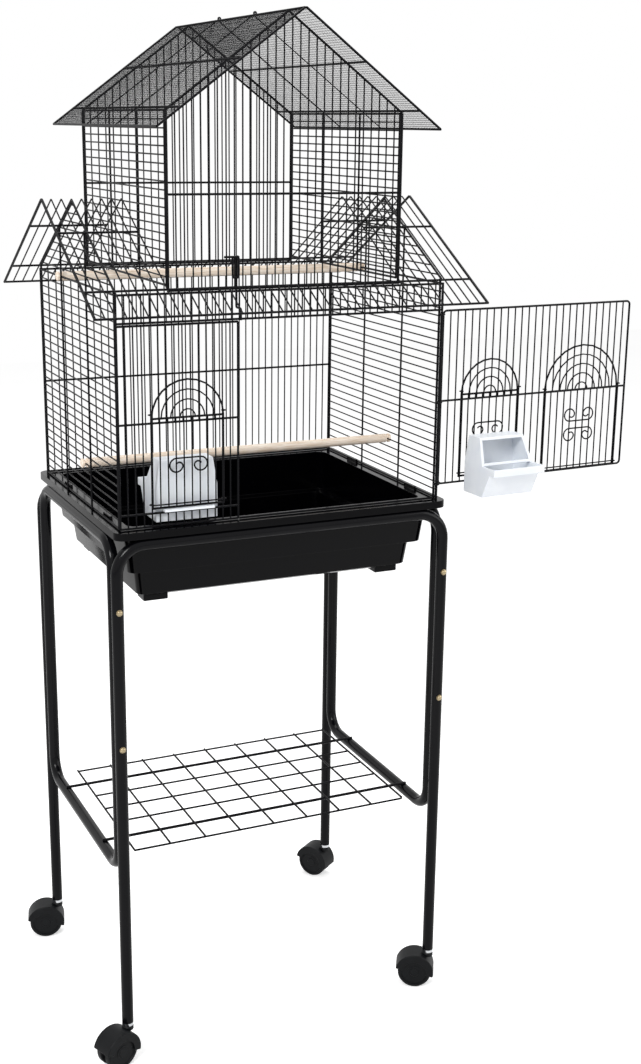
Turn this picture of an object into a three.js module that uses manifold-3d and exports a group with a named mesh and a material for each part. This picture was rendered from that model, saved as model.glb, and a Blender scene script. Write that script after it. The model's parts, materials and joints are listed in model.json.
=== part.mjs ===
// Bird cage with a pagoda roof, standing on a tubular stand with four casters.
// Millimetres, +Z up. The front is toward -Y, the left side toward -X, the floor is at z = 0.
// The big door is modelled swung open, hinged on the right front post.
import * as THREE from 'three';
import { mergeVertices } from 'three/addons/utils/BufferGeometryUtils.js';
import Module from 'manifold-3d';

const wasm = await Module();
wasm.setup();

// ---------------------------------------------------------------- overall sizes
const CAGE_W = 457;              // cage body, post centre to post centre along X
const CAGE_D = 356;              // cage body, panel centre to panel centre along Y
const TOWER_W = 320;             // upper storey, side panel to side panel
const FLANGE_Z = 762;            // top of the tray flange, the floor the cage stands on
const WALL_H = 299;              // tray flange to the top rail of the cage body
const MID_H = 136;               // tray flange to the middle rail
const DOOR_OPENING_H = 261;      // tray flange to the underside of the front header
const TOWER_MID_H = 417;         // tray flange to the middle rail of the upper storey
const RIDGE_H = 639;             // tray flange to the main ridge
const LOW_RIDGE_H = 404;         // tray flange to the ridge of the lower roof

// ---------------------------------------------------------------- wire sizes and fits
const BAR = 2.2;                 // thin grille bar
const RAIL = 3;                  // rail and frame wire
const POST = 5;                  // corner post
const THICK = 3;                 // depth of every welded panel
const CROSS = 2.4;               // cross wire that lies on the face of a panel
const SEAT = 0.3;                // gap between parts that rest on each other
const CLEAR = 0.4;               // running clearance of moving parts
const WELD = 0.4;                // overlap of wires welded into one piece

// ---------------------------------------------------------------- grille counts
const FRONT_GAPS = 42;
const FIXED_GAPS = 15;
const WALL_GAPS = 27;
const TOWER_GAPS = 29;
const TOWER_WALL_GAPS = 20;
const DOOR_GAPS = 27;
const GABLE_GAPS = 5;

// ---------------------------------------------------------------- front panel and doors
const JAMB_X = -67.7;            // left jamb of the big door opening
const LEDGE_RAIL_H = 17.5;       // flange to the underside of the rail the front cup hangs on
const DOOR_W = 328;              // hinge axis to the free edge
const DOOR_START = 6;            // hinge axis to the first edge wire
const DOOR_OFFSET = 7.5;         // hinge axis to the plane of the door
const DOOR_BOTTOM_H = 17.5;      // flange to the underside of the door
const DOOR_TOP_H = 261.5;        // flange to the top of the door
const DOOR_REST = 3;             // degrees the open door stands past straight
const HINGE_PIN_R = 2.3;
const KNUCKLE_R = 4.8;
const KNUCKLE_H = 3;
const SLIDE_THICK = 2.4;
const SLIDE_H = 119;             // guillotine door, bottom to its arch rail
const SLIDE_LOW_HOOK = 6;        // hooks of a guillotine door, above its bottom and its arch rail
const SLIDE_HIGH_HOOK = 3.5;
const FEEDER_FIRST = 3;          // first and last door bar beside the feeder opening
const FEEDER_LAST = 11;
const ENTRY_FIRST = 15;          // first and last door bar beside the entry opening
const ENTRY_LAST = 26;
const FRONT_FEEDER_FIRST = 4;
const FRONT_FEEDER_LAST = 13;

// ---------------------------------------------------------------- cups and perches
const CUP_W = 84;
const CUP_H = 80;
const CUP_DEPTH = 74;
const CUP_WALL = 2.2;
const CUP_LEDGE_Z = 15.2;        // cup bottom to the underside of its hanging ledge
const CUP_LEDGE = 3.5;
const CUP_LEDGE_OUT = 12;
const CUP_LEDGE_W = 68;          // ends short of the closed door's free edge
const PERCH_R = 6.5;
const PERCH_LOW_H = 60;
const PERCH_LOW_Y = -24;
const PERCH_HIGH_Y = 72;
const PERCH_OUT = 4;             // perch end standing outside the wall

// ---------------------------------------------------------------- tray
const TRAY_X = 239;
const TRAY_Y = 193;
const TRAY_OPEN_X = 213;
const TRAY_OPEN_Y = 163;
const FLANGE_T = 10;
const TRAY_STEP = 62;            // flange top to the first step
const TRAY_DEPTH = 101;          // flange top to the underside
const TRAY_FOOT = 9;
const TRAY_WALL = 3;

// ---------------------------------------------------------------- stand
const TUBE_R = 8;
const TUBE_WALL = 1.3;
const TUBE_SIDES = 8;
const LEG_X = 237;
const LEG_Y = 185;
const BEND_R = 38;
const RING_BEND_R = 34;
const LEG_END_Z = 60;
const SHELF_Z = 294.3;
const BOLT_ZS = [469, 658];
const BOLT_R = 2.3;
const SHELF_X = 208.5;
const SHELF_Y = 141;
const SHELF_WIRE = 4;

// ---------------------------------------------------------------- casters
const WHEEL_R = 25;
const WHEEL_W = 11;
const WHEEL_GAP = 4.2;           // caster centre plane to the inner face of a wheel
const TRAIL = 19;
const AXLE_R = 3;
const STEM_R = 4;
const CASTER_TURN = { fl: 200, bl: 165, fr: 150, br: 125 };

// ---------------------------------------------------------------- roofs
const LOW_ROOF_X = 270;
const LOW_ROOF_Y = 230;
const LOW_ROOF_DROP = 129;
const LOW_BAND = 0.785;
const LOW_RAIL = 0.3;
const MAIN_ROOF_X = 191;
const MAIN_ROOF_Y = 229;
const MAIN_ROOF_DROP = 141;
const MESH_T = 1;
const RAFTER_Y = 64;

// ---------------------------------------------------------------- derived levels
const WALL_TOP = FLANGE_Z + WALL_H;
const MID_Z = FLANGE_Z + MID_H;
const HEADER_Z = FLANGE_Z + DOOR_OPENING_H;
const BASE_Z = FLANGE_Z + SEAT;
const HALF_W = CAGE_W / 2;
const HALF_D = CAGE_D / 2;
const HALF_T = TOWER_W / 2;
const RIDGE_Z = FLANGE_Z + RIDGE_H;
const LOW_RIDGE_Z = FLANGE_Z + LOW_RIDGE_H;
const TUBE_TOP_Z = FLANGE_Z - FLANGE_T - SEAT;
const LOW_TUBE_Z = SHELF_Z - SHELF_WIRE / 2 - SEAT - TUBE_R;
const RING_Y = LEG_Y - 2 * TUBE_R - CLEAR;

// ---------------------------------------------------------------- colours
const BLACK_WIRE = 0x141416;
const BLACK_PLASTIC = 0x08080a;
const NYLON = 0x1c2022;
const ZINC = 0xb9a98a;
const CHROME = 0xc8ccd0;
const CUP_WHITE = 0xe8eef5;
const PINE = 0xe4cfb8;

const X = new THREE.Vector3(1, 0, 0);
const Y = new THREE.Vector3(0, 1, 0);
const Z = new THREE.Vector3(0, 0, 1);

// ---------------------------------------------------------------- solid helpers
function toSolid(geometry) {
  const bare = geometry.clone();
  bare.deleteAttribute('normal');
  bare.deleteAttribute('uv');
  const merged = mergeVertices(bare, 1e-4);
  return new wasm.Manifold(new wasm.Mesh({
    numProp: 3,
    vertProperties: new Float32Array(merged.attributes.position.array),
    triVerts: new Uint32Array(merged.index.array),
  }));
}

function toGeometry(solid) {
  const mesh = solid.getMesh();
  const geometry = new THREE.BufferGeometry();
  geometry.setAttribute('position', new THREE.BufferAttribute(mesh.vertProperties, 3));
  geometry.setIndex(new THREE.BufferAttribute(mesh.triVerts, 1));
  return geometry;
}

function join(list) {
  return toGeometry(wasm.Manifold.union(list.map(toSolid)));
}

function cut(base, tools) {
  return toGeometry(toSolid(base).subtract(wasm.Manifold.union(tools.map(toSolid))));
}

function box(x0, x1, y0, y1, z0, z1) {
  const geometry = new THREE.BoxGeometry(Math.abs(x1 - x0), Math.abs(y1 - y0), Math.abs(z1 - z0));
  geometry.translate((x0 + x1) / 2, (y0 + y1) / 2, (z0 + z1) / 2);
  return geometry;
}

function rod(radius, from, to, sides) {
  const line = new THREE.Vector3().subVectors(to, from);
  const geometry = new THREE.CylinderGeometry(radius, radius, line.length(), sides);
  const turn = new THREE.Quaternion().setFromUnitVectors(Y, line.clone().normalize());
  geometry.applyQuaternion(turn);
  const middle = new THREE.Vector3().addVectors(from, to).multiplyScalar(0.5);
  geometry.translate(middle.x, middle.y, middle.z);
  return geometry;
}

// Turned part: profile of [radius, height] from the axis round to the axis, axis along Z.
function turned(profile, sides) {
  const points = profile.map(([r, h]) => new THREE.Vector2(r, h));
  const geometry = new THREE.LatheGeometry(points, sides);
  geometry.rotateX(Math.PI / 2);
  return geometry;
}

function polygonPath(points, Kind) {
  return new Kind(points.map(([u, v]) => new THREE.Vector2(u, v)));
}

function prism(outline, thickness) {
  const shape = polygonPath(outline, THREE.Shape);
  const geometry = new THREE.ExtrudeGeometry(shape, { depth: thickness, bevelEnabled: false });
  geometry.translate(0, 0, -thickness / 2);
  return geometry;
}

// Flat plate in local u, v with openings, its thickness centred on the plane.
function plate(outline, openings, thickness) {
  const base = prism(outline, thickness);
  if (openings.length === 0) {
    return base;
  }
  return cut(base, openings.map((opening) => prism(opening, thickness + 2)));
}

function placeOn(geometry, origin, u, v) {
  const w = new THREE.Vector3().crossVectors(u, v);
  const matrix = new THREE.Matrix4().makeBasis(u, v, w).setPosition(origin);
  geometry.applyMatrix4(matrix);
  return geometry;
}

// ---------------------------------------------------------------- grille helpers
function spaced(first, last, count) {
  const list = [];
  for (let i = 0; i <= count; i += 1) {
    list.push(first + ((last - first) * i) / count);
  }
  return list;
}

// Clear spaces between wires, given wire centres and the widths of the end and inner wires.
function gaps(centres, endWidth, innerWidth) {
  const list = [];
  for (let i = 0; i + 1 < centres.length; i += 1) {
    const left = i === 0 ? endWidth : innerWidth;
    const right = i + 2 === centres.length ? endWidth : innerWidth;
    list.push([centres[i] + left / 2, centres[i + 1] - right / 2]);
  }
  return list;
}

// Keep the part of a polygon where a*u + b*v <= c.
function clip(polygon, [a, b, c]) {
  const out = [];
  polygon.forEach((p, i) => {
    const q = polygon[(i + 1) % polygon.length];
    const dp = a * p[0] + b * p[1] - c;
    const dq = a * q[0] + b * q[1] - c;
    if (dp <= 0) {
      out.push(p);
    }
    if ((dp < 0 && dq > 0) || (dp > 0 && dq < 0)) {
      const t = dp / (dp - dq);
      out.push([p[0] + (q[0] - p[0]) * t, p[1] + (q[1] - p[1]) * t]);
    }
  });
  return out;
}

function area(polygon) {
  let sum = 0;
  polygon.forEach((p, i) => {
    const q = polygon[(i + 1) % polygon.length];
    sum += p[0] * q[1] - q[0] * p[1];
  });
  return Math.abs(sum) / 2;
}

const SMALLEST_OPENING = 20;

function cells(uGaps, vGaps, limits) {
  const list = [];
  uGaps.forEach(([u0, u1]) => {
    vGaps.forEach(([v0, v1]) => {
      let cell = [[u0, v0], [u1, v0], [u1, v1], [u0, v1]];
      limits.forEach((limit) => {
        cell = clip(cell, limit);
      });
      if (cell.length > 2 && area(cell) > SMALLEST_OPENING) {
        list.push(cell);
      }
    });
  });
  return list;
}

function rectangle(u0, u1, v0, v1) {
  return [[u0, v0], [u1, v0], [u1, v1], [u0, v1]];
}

// Cross wire lying on one face of a panel, welded to it only by a foot at each end.
function crossWire(u0, u1, v0, v1, side, footU, footV) {
  const near = side * (THICK / 2 + SEAT);
  const far = side * (THICK / 2 + SEAT + CROSS);
  const weld = side * (THICK / 2 - WELD);
  const inner = side * (THICK / 2 + SEAT + WELD);
  return [
    box(u0, u1, v0, v1, near, far),
    box(u0, u0 + footU, v0, v0 + footV, weld, inner),
    box(u1 - footU, u1, v1 - footV, v1, weld, inner),
  ];
}

function crossRail(u0, u1, v, side) {
  return crossWire(u0, u1, v - RAIL / 2, v + RAIL / 2, side, POST - 1, RAIL);
}

function crossUpright(u, v0, v1, side) {
  return crossWire(u - RAIL / 2, u + RAIL / 2, v0, v1, side, RAIL, RAIL - 1);
}

// ---------------------------------------------------------------- tube helpers
class StationPath extends THREE.Curve {
  constructor(points, tangents) {
    super();
    this.points = points;
    this.tangents = tangents;
  }

  station(t) {
    return Math.round(t * (this.points.length - 1));
  }

  getPoint(t) {
    return this.points[this.station(t)].clone();
  }

  getPointAt(t) {
    return this.getPoint(t);
  }

  getTangentAt(t) {
    return this.tangents[this.station(t)].clone();
  }
}

// Round-bent path through straight corners, as stations with their directions.
function bentPath(corners, radius, steps) {
  const points = [corners[0]];
  const tangents = [new THREE.Vector3().subVectors(corners[1], corners[0]).normalize()];
  for (let i = 1; i + 1 < corners.length; i += 1) {
    const before = new THREE.Vector3().subVectors(corners[i], corners[i - 1]).normalize();
    const after = new THREE.Vector3().subVectors(corners[i + 1], corners[i]).normalize();
    const start = corners[i].clone().addScaledVector(before, -radius);
    for (let k = 0; k <= steps; k += 1) {
      const angle = (Math.PI / 2) * (k / steps);
      const point = start.clone();
      point.addScaledVector(before, radius * Math.sin(angle));
      point.addScaledVector(after, radius * (1 - Math.cos(angle)));
      points.push(point);
      const tangent = before.clone().multiplyScalar(Math.cos(angle));
      tangents.push(tangent.addScaledVector(after, Math.sin(angle)).normalize());
    }
  }
  points.push(corners[corners.length - 1]);
  tangents.push(tangents[tangents.length - 1].clone());
  return new StationPath(points, tangents);
}

function circlePoints(radius, sides, from = 0) {
  const list = [];
  for (let i = 0; i < sides; i += 1) {
    const angle = from + (2 * Math.PI * i) / sides;
    list.push([radius * Math.cos(angle), radius * Math.sin(angle)]);
  }
  return list;
}

const BEND_STEPS = 4;

function bentTube(corners, radius) {
  const path = bentPath(corners, radius, BEND_STEPS);
  const shape = polygonPath(circlePoints(TUBE_R, TUBE_SIDES), THREE.Shape);
  shape.holes.push(polygonPath(circlePoints(TUBE_R - TUBE_WALL, TUBE_SIDES), THREE.Path));
  return new THREE.ExtrudeGeometry(shape, {
    steps: path.points.length - 1,
    bevelEnabled: false,
    extrudePath: path,
  });
}

// ---------------------------------------------------------------- assembly
const group = new THREE.Group();
group.name = 'bird_cage_on_stand';

function add(name, geometry, color, roughness = 0.5, metalness = 0) {
  geometry.deleteAttribute('uv');
  geometry.computeVertexNormals();
  const material = new THREE.MeshStandardMaterial({ color, roughness, metalness });
  const mesh = new THREE.Mesh(geometry, material);
  mesh.name = name;
  group.add(mesh);
  return mesh;
}

function point(x, y, z) {
  return new THREE.Vector3(x, y, z);
}

// ---------------------------------------------------------------- tray
const CORNER_STEPS = 3;

function roundedLoop(halfX, halfY, radius, z) {
  const loop = [];
  const centres = [[1, 1, 0], [-1, 1, 90], [-1, -1, 180], [1, -1, 270]];
  centres.forEach(([sx, sy, from]) => {
    for (let k = 0; k <= CORNER_STEPS; k += 1) {
      const angle = THREE.MathUtils.degToRad(from + (90 * k) / CORNER_STEPS);
      loop.push([
        sx * (halfX - radius) + radius * Math.cos(angle),
        sy * (halfY - radius) + radius * Math.sin(angle),
        z,
      ]);
    }
  });
  return loop;
}

// Closed skin through loops of equal point count, capped flat at both ends.
function skin(loops) {
  const count = loops[0].length;
  const positions = loops.flat(2);
  const index = [];
  for (let row = 0; row + 1 < loops.length; row += 1) {
    for (let i = 0; i < count; i += 1) {
      const a = row * count + i;
      const b = row * count + ((i + 1) % count);
      index.push(a, b, b + count, a, b + count, a + count);
    }
  }
  for (let i = 1; i + 1 < count; i += 1) {
    index.push(0, i + 1, i);
    const last = (loops.length - 1) * count;
    index.push(last, last + i, last + i + 1);
  }
  const geometry = new THREE.BufferGeometry();
  geometry.setAttribute('position', new THREE.Float32BufferAttribute(positions, 3));
  geometry.setIndex(index);
  return geometry;
}

// Tray section: inset from the flange edge, drop below the flange top, corner radius.
const TRAY_OUTSIDE = [
  [49, TRAY_DEPTH, 16],
  [41, TRAY_DEPTH - 4, 18],
  [37, TRAY_STEP + 3, 20],
  [25, TRAY_STEP, 22],
  [19.5, FLANGE_T + 3, 24],
  [19, FLANGE_T, 24],
  [0, FLANGE_T, 12],
  [0, 2, 12],
];

function trayShell() {
  const outside = TRAY_OUTSIDE.map(([inset, drop, radius]) =>
    roundedLoop(TRAY_X - inset, TRAY_Y - inset, radius, FLANGE_Z - drop));
  const brim = [
    roundedLoop(TRAY_X - 2, TRAY_Y - 2, 11, FLANGE_Z),
    roundedLoop(TRAY_OPEN_X, TRAY_OPEN_Y, 18, FLANGE_Z),
  ];
  const inside = [
    roundedLoop(TRAY_OPEN_X - 2, TRAY_OPEN_Y - 2, 17, FLANGE_Z - 4),
    roundedLoop(TRAY_X - 25 - TRAY_WALL - 4, TRAY_Y - 25 - TRAY_WALL - 4, 18,
      FLANGE_Z - TRAY_STEP + TRAY_WALL),
    roundedLoop(TRAY_X - 37 - TRAY_WALL, TRAY_Y - 37 - TRAY_WALL, 16,
      FLANGE_Z - TRAY_STEP + 1),
    roundedLoop(TRAY_X - 41 - TRAY_WALL, TRAY_Y - 41 - TRAY_WALL, 15,
      FLANGE_Z - TRAY_DEPTH + TRAY_WALL + 4),
    roundedLoop(TRAY_X - 49 - TRAY_WALL, TRAY_Y - 49 - TRAY_WALL, 13,
      FLANGE_Z - TRAY_DEPTH + TRAY_WALL),
  ];
  return skin([...outside, ...brim, ...inside]);
}

const HOOK_YS = [79, -110];
const HOOK_X = 222.5;
const HOOK_L = 16;

function trayPiece() {
  const pieces = [trayShell()];
  const holes = [];
  const footLong = 34;
  const footWide = 26;
  const footInset = 51;
  [-1, 1].forEach((sx) => {
    [-1, 1].forEach((sy) => {
      const x = sx * (TRAY_X - footInset);
      const y = sy * (TRAY_Y - footInset);
      pieces.push(box(x, x - sx * footLong, y, y - sy * footWide,
        FLANGE_Z - TRAY_DEPTH - TRAY_FOOT, FLANGE_Z - TRAY_DEPTH + 1));
    });
    HOOK_YS.forEach((y) => {
      pieces.push(box(sx * HOOK_X, sx * (HOOK_X + 3.6), y - HOOK_L, y + HOOK_L,
        FLANGE_Z - 1, FLANGE_Z + 6));
      holes.push(box(sx * (HOOK_X - 6), sx * (HOOK_X - 1), y - 7, y + 7,
        FLANGE_Z - FLANGE_T - 60, FLANGE_Z + 3));
    });
  });
  return cut(join(pieces), holes);
}

add('tray', trayPiece(), BLACK_PLASTIC, 0.25);

// ---------------------------------------------------------------- stand frames
const TOP_TUBE_Z = TUBE_TOP_Z - TUBE_R;

function boltDrill(sx, sy, z) {
  const outer = sy * (LEG_Y + TUBE_R + 4);
  const inner = sy * RING_Y;
  return rod(BOLT_R + SEAT, point(sx * LEG_X, outer, z), point(sx * LEG_X, inner, z), 8);
}

function legFrame(sy) {
  const y = sy * LEG_Y;
  const tube = bentTube([
    point(-LEG_X, y, LEG_END_Z),
    point(-LEG_X, y, TOP_TUBE_Z),
    point(LEG_X, y, TOP_TUBE_Z),
    point(LEG_X, y, LEG_END_Z),
  ], BEND_R);
  const drills = [];
  [-1, 1].forEach((sx) => BOLT_ZS.forEach((z) => drills.push(boltDrill(sx, sy, z))));
  return cut(tube, drills);
}

function sideRing(sx) {
  const x = sx * LEG_X;
  const half = (sy) => bentTube([
    point(x, -sy * WELD, TOP_TUBE_Z),
    point(x, sy * RING_Y, TOP_TUBE_Z),
    point(x, sy * RING_Y, LOW_TUBE_Z),
    point(x, -sy * WELD, LOW_TUBE_Z),
  ], RING_BEND_R);
  const drills = [];
  [-1, 1].forEach((sy) => BOLT_ZS.forEach((z) => drills.push(boltDrill(sx, sy, z))));
  return cut(join([half(1), half(-1)]), drills);
}

add('stand_front_frame', legFrame(-1), BLACK_WIRE, 0.35, 0.2);
add('stand_back_frame', legFrame(1), BLACK_WIRE, 0.35, 0.2);
add('stand_left_ring', sideRing(-1), BLACK_WIRE, 0.35, 0.2);
add('stand_right_ring', sideRing(1), BLACK_WIRE, 0.35, 0.2);

// ---------------------------------------------------------------- bolts
function bolt() {
  const headStart = LEG_Y + TUBE_R + SEAT;
  const profile = [
    [0, RING_Y + 1],
    [BOLT_R, RING_Y + 1],
    [BOLT_R, headStart],
    [5, headStart],
    [4.2, headStart + 2],
    [0, headStart + 3],
  ];
  return turned(profile, 6);
}

const LEG_CODES = [['fl', -1, -1], ['fr', 1, -1], ['bl', -1, 1], ['br', 1, 1]];

LEG_CODES.forEach(([code, sx, sy]) => {
  BOLT_ZS.forEach((z, i) => {
    const geometry = bolt();
    geometry.rotateX(sy > 0 ? -Math.PI / 2 : Math.PI / 2);
    geometry.translate(sx * LEG_X, 0, z);
    add(`bolt_${code}_${i === 0 ? 'lower' : 'upper'}`, geometry, ZINC, 0.35, 0.8);
  });
});

// ---------------------------------------------------------------- shelf
function shelf() {
  const columns = gaps(spaced(-SHELF_X, SHELF_X, 8), RAIL, RAIL);
  const rows = gaps(spaced(-SHELF_Y, SHELF_Y, 6), RAIL, RAIL);
  const edge = RAIL / 2;
  const grid = plate(
    rectangle(-SHELF_X - edge, SHELF_X + edge, -SHELF_Y - edge, SHELF_Y + edge),
    cells(columns, rows, []),
    SHELF_WIRE,
  );
  const pieces = [grid];
  const reach = LEG_X + 3;
  const strong = (SHELF_Y * 2) / 3;
  [-1, 1].forEach((sx) => {
    [-1, 1].forEach((sy) => {
      pieces.push(box(sx * (SHELF_X + edge - WELD), sx * reach, sy * strong - 2, sy * strong + 2,
        -SHELF_WIRE / 2, SHELF_WIRE / 2));
    });
  });
  const geometry = join(pieces);
  geometry.translate(0, 0, SHELF_Z);
  return geometry;
}

add('shelf', shelf(), BLACK_WIRE, 0.4, 0.2);

// ---------------------------------------------------------------- casters
function casterStem() {
  return turned([
    [0, 38],
    [STEM_R, 38],
    [STEM_R, LEG_END_Z - 5],
    [TUBE_R, LEG_END_Z - 5],
    [TUBE_R, LEG_END_Z - SEAT],
    [TUBE_R - TUBE_WALL - CLEAR - 0.2, LEG_END_Z - SEAT],
    [TUBE_R - TUBE_WALL - CLEAR - 0.2, LEG_END_Z + 28],
    [0, LEG_END_Z + 30],
  ], TUBE_SIDES);
}

// Hood arc over the wheels, from the front lip round to the rear lip.
function casterHood() {
  const inner = WHEEL_R + 1.5;
  const outer = WHEEL_R + 4;
  const from = THREE.MathUtils.degToRad(-12);
  const to = THREE.MathUtils.degToRad(168);
  const steps = 5;
  const fender = [];
  for (let i = 0; i <= steps; i += 1) {
    const angle = from + ((to - from) * i) / steps;
    fender.push([outer * Math.cos(angle), outer * Math.sin(angle)]);
  }
  for (let i = steps; i >= 0; i -= 1) {
    const angle = from + ((to - from) * i) / steps;
    fender.push([inner * Math.cos(angle), inner * Math.sin(angle)]);
  }
  const width = 2 * (WHEEL_GAP + WHEEL_W) + 1;
  const cover = plate(fender, [], width);
  cover.rotateX(Math.PI / 2);
  const web = plate(circlePoints(WHEEL_R + 2.5, 10), [], 2 * (WHEEL_GAP - 0.7));
  web.rotateX(Math.PI / 2);
  const lift = (g) => g.translate(-TRAIL, 0, WHEEL_R);
  const boss = rod(STEM_R + 4, point(0, 0, 34), point(0, 0, LEG_END_Z - 5 - SEAT), 10);
  const wheelRoom = (side) => rod(WHEEL_R + 1, point(-TRAIL, side * (WHEEL_GAP - 0.5), WHEEL_R),
    point(-TRAIL, side * (WHEEL_GAP + WHEEL_W + 0.6), WHEEL_R), 14);
  return cut(join([lift(cover), lift(web), boss]), [
    wheelRoom(1),
    wheelRoom(-1),
    box(-TRAIL - 40, 40, -40, 40, -20, 7),
    rod(STEM_R + 2 * CLEAR, point(0, 0, 37), point(0, 0, LEG_END_Z), 8),
    rod(AXLE_R + SEAT, point(-TRAIL, -20, WHEEL_R), point(-TRAIL, 20, WHEEL_R), 8),
  ]);
}

function casterWheel(side) {
  const bore = AXLE_R + SEAT;
  const profile = [
    [bore, 0],
    [WHEEL_R - 1.5, 0],
    [WHEEL_R, 1.5],
    [WHEEL_R, WHEEL_W - 2.5],
    [WHEEL_R - 4, WHEEL_W],
    [bore, WHEEL_W],
    [bore, 0],
  ];
  const geometry = turned(profile, 16);
  geometry.rotateX(side > 0 ? -Math.PI / 2 : Math.PI / 2);
  geometry.translate(-TRAIL, side * WHEEL_GAP, WHEEL_R);
  return geometry;
}

function casterAxle() {
  const reach = WHEEL_GAP + WHEEL_W - 1;
  return rod(AXLE_R, point(-TRAIL, -reach, WHEEL_R), point(-TRAIL, reach, WHEEL_R), 8);
}

LEG_CODES.forEach(([code, sx, sy]) => {
  const turn = THREE.MathUtils.degToRad(CASTER_TURN[code] + 180);
  const put = (geometry) => {
    geometry.rotateZ(turn);
    geometry.translate(sx * LEG_X, sy * LEG_Y, 0);
    return geometry;
  };
  add(`caster_${code}_stem`, put(casterStem()), CHROME, 0.2, 1);
  add(`caster_${code}_hood`, put(casterHood()), NYLON, 0.45);
  add(`caster_${code}_axle`, put(casterAxle()), CHROME, 0.25, 1);
  add(`caster_${code}_wheel_a`, put(casterWheel(1)), NYLON, 0.5);
  add(`caster_${code}_wheel_b`, put(casterWheel(-1)), NYLON, 0.5);
});

// ---------------------------------------------------------------- cage back panel
const OUT_X = HALF_W + POST / 2 - 0.5;

function backPanel() {
  const columns = gaps(spaced(-HALF_W + 0.5, HALF_W - 0.5, FRONT_GAPS), POST, BAR);
  const rows = [[BASE_Z + RAIL, WALL_TOP - RAIL]];
  const grid = plate(rectangle(-OUT_X - 0.5, OUT_X + 0.5, BASE_Z, WALL_TOP),
    cells(columns, rows, []), THICK);
  const geometry = join([grid, ...crossRail(-OUT_X, OUT_X, MID_Z, -1)]);
  return placeOn(geometry, point(0, HALF_D, 0), X, Z);
}

add('cage_back_panel', backPanel(), BLACK_WIRE, 0.45, 0.2);

// ---------------------------------------------------------------- cage side panels
const LOW_TAN = LOW_ROOF_DROP / LOW_ROOF_Y;
const LOW_ANGLE = Math.atan(LOW_TAN);
const LOW_UNDER = (THICK / 2 + SEAT) / Math.cos(LOW_ANGLE);
const MAIN_TAN = MAIN_ROOF_DROP / MAIN_ROOF_X;
const MAIN_ANGLE = Math.atan(MAIN_TAN);
const MAIN_UNDER = (THICK / 2 + SEAT) / Math.cos(MAIN_ANGLE);
const SIDE_END = HALF_D - THICK / 2 - SEAT;
const STRONG_Y = 59.5;

// Pentagon standing under a ridge at u = 0, from v0 up to the slopes.
function gableOutline(uLeft, uRight, v0, apex, slope) {
  return [
    [uLeft, v0],
    [uRight, v0],
    [uRight, apex - slope * Math.abs(uRight)],
    [0, apex],
    [uLeft, apex - slope * Math.abs(uLeft)],
  ];
}

function gableLimits(apex, slope, width) {
  const c = apex - width * Math.sqrt(1 + slope * slope);
  return [[slope, 1, c], [-slope, 1, c]];
}

function sidePanel(side) {
  const front = side > 0 ? -SIDE_END + 3.4 : -SIDE_END;
  const back = SIDE_END;
  const apex = LOW_RIDGE_Z - LOW_UNDER;
  const limits = gableLimits(apex, LOW_TAN, RAIL);
  const wall = gaps(spaced(BASE_Z + RAIL / 2, WALL_TOP - RAIL / 2, WALL_GAPS), RAIL, BAR);
  const gable = gaps(spaced(WALL_TOP - RAIL / 2, apex - 4, GABLE_GAPS), RAIL, BAR);
  const grid = plate(
    gableOutline(front, back, BASE_Z, apex, LOW_TAN),
    cells([[front + POST, back - POST]], [...wall, ...gable], limits),
    THICK,
  );
  const uprightTop = apex - LOW_TAN * (STRONG_Y + RAIL / 2) - 0.2;
  const pieces = [grid];
  [-STRONG_Y, STRONG_Y].forEach((u) => {
    pieces.push(...crossUpright(u, BASE_Z, uprightTop, side));
  });
  return placeOn(join(pieces), point(side * HALF_W, 0, 0), Y, Z);
}

add('cage_left_panel', sidePanel(-1), BLACK_WIRE, 0.45, 0.2);
add('cage_right_panel', sidePanel(1), BLACK_WIRE, 0.45, 0.2);

// ---------------------------------------------------------------- cage front
const fixedBars = spaced(-HALF_W + 0.5, JAMB_X, FIXED_GAPS);
const LEDGE_RAIL_Z = FLANGE_Z + LEDGE_RAIL_H;

function frontFixedPanel() {
  const right = JAMB_X + RAIL / 2;
  const columns = gaps(fixedBars, POST, BAR);
  columns[FIXED_GAPS - 1][1] = right - RAIL;
  const top = HEADER_Z - SEAT;
  const low = [BASE_Z + RAIL, LEDGE_RAIL_Z];
  const middle = [LEDGE_RAIL_Z + RAIL, MID_Z - RAIL / 2];
  const high = [MID_Z + RAIL / 2, top - RAIL];
  const openings = [
    ...cells(columns, [high, low], []),
    ...cells(columns.filter((c, i) => i < FRONT_FEEDER_FIRST || i >= FRONT_FEEDER_LAST),
      [middle], []),
    rectangle(fixedBars[FRONT_FEEDER_FIRST] + BAR / 2, fixedBars[FRONT_FEEDER_LAST] - BAR / 2,
      middle[0], middle[1]),
  ];
  const grid = plate(rectangle(-OUT_X - 0.5, right, BASE_Z, top), openings, THICK);
  return placeOn(grid, point(0, -HALF_D, 0), X, Z);
}

function frontHeader() {
  const columns = gaps(spaced(-HALF_W + 0.5, HALF_W - 0.5, FRONT_GAPS), POST, BAR);
  const grid = plate(rectangle(-OUT_X - 0.5, OUT_X + 0.5, HEADER_Z, WALL_TOP),
    cells(columns, [[HEADER_Z + RAIL, WALL_TOP - RAIL]], []), THICK);
  return placeOn(grid, point(0, -HALF_D, 0), X, Z);
}

const POST_X = HALF_W;
const SILL_END = POST_X - KNUCKLE_R - 1;

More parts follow.
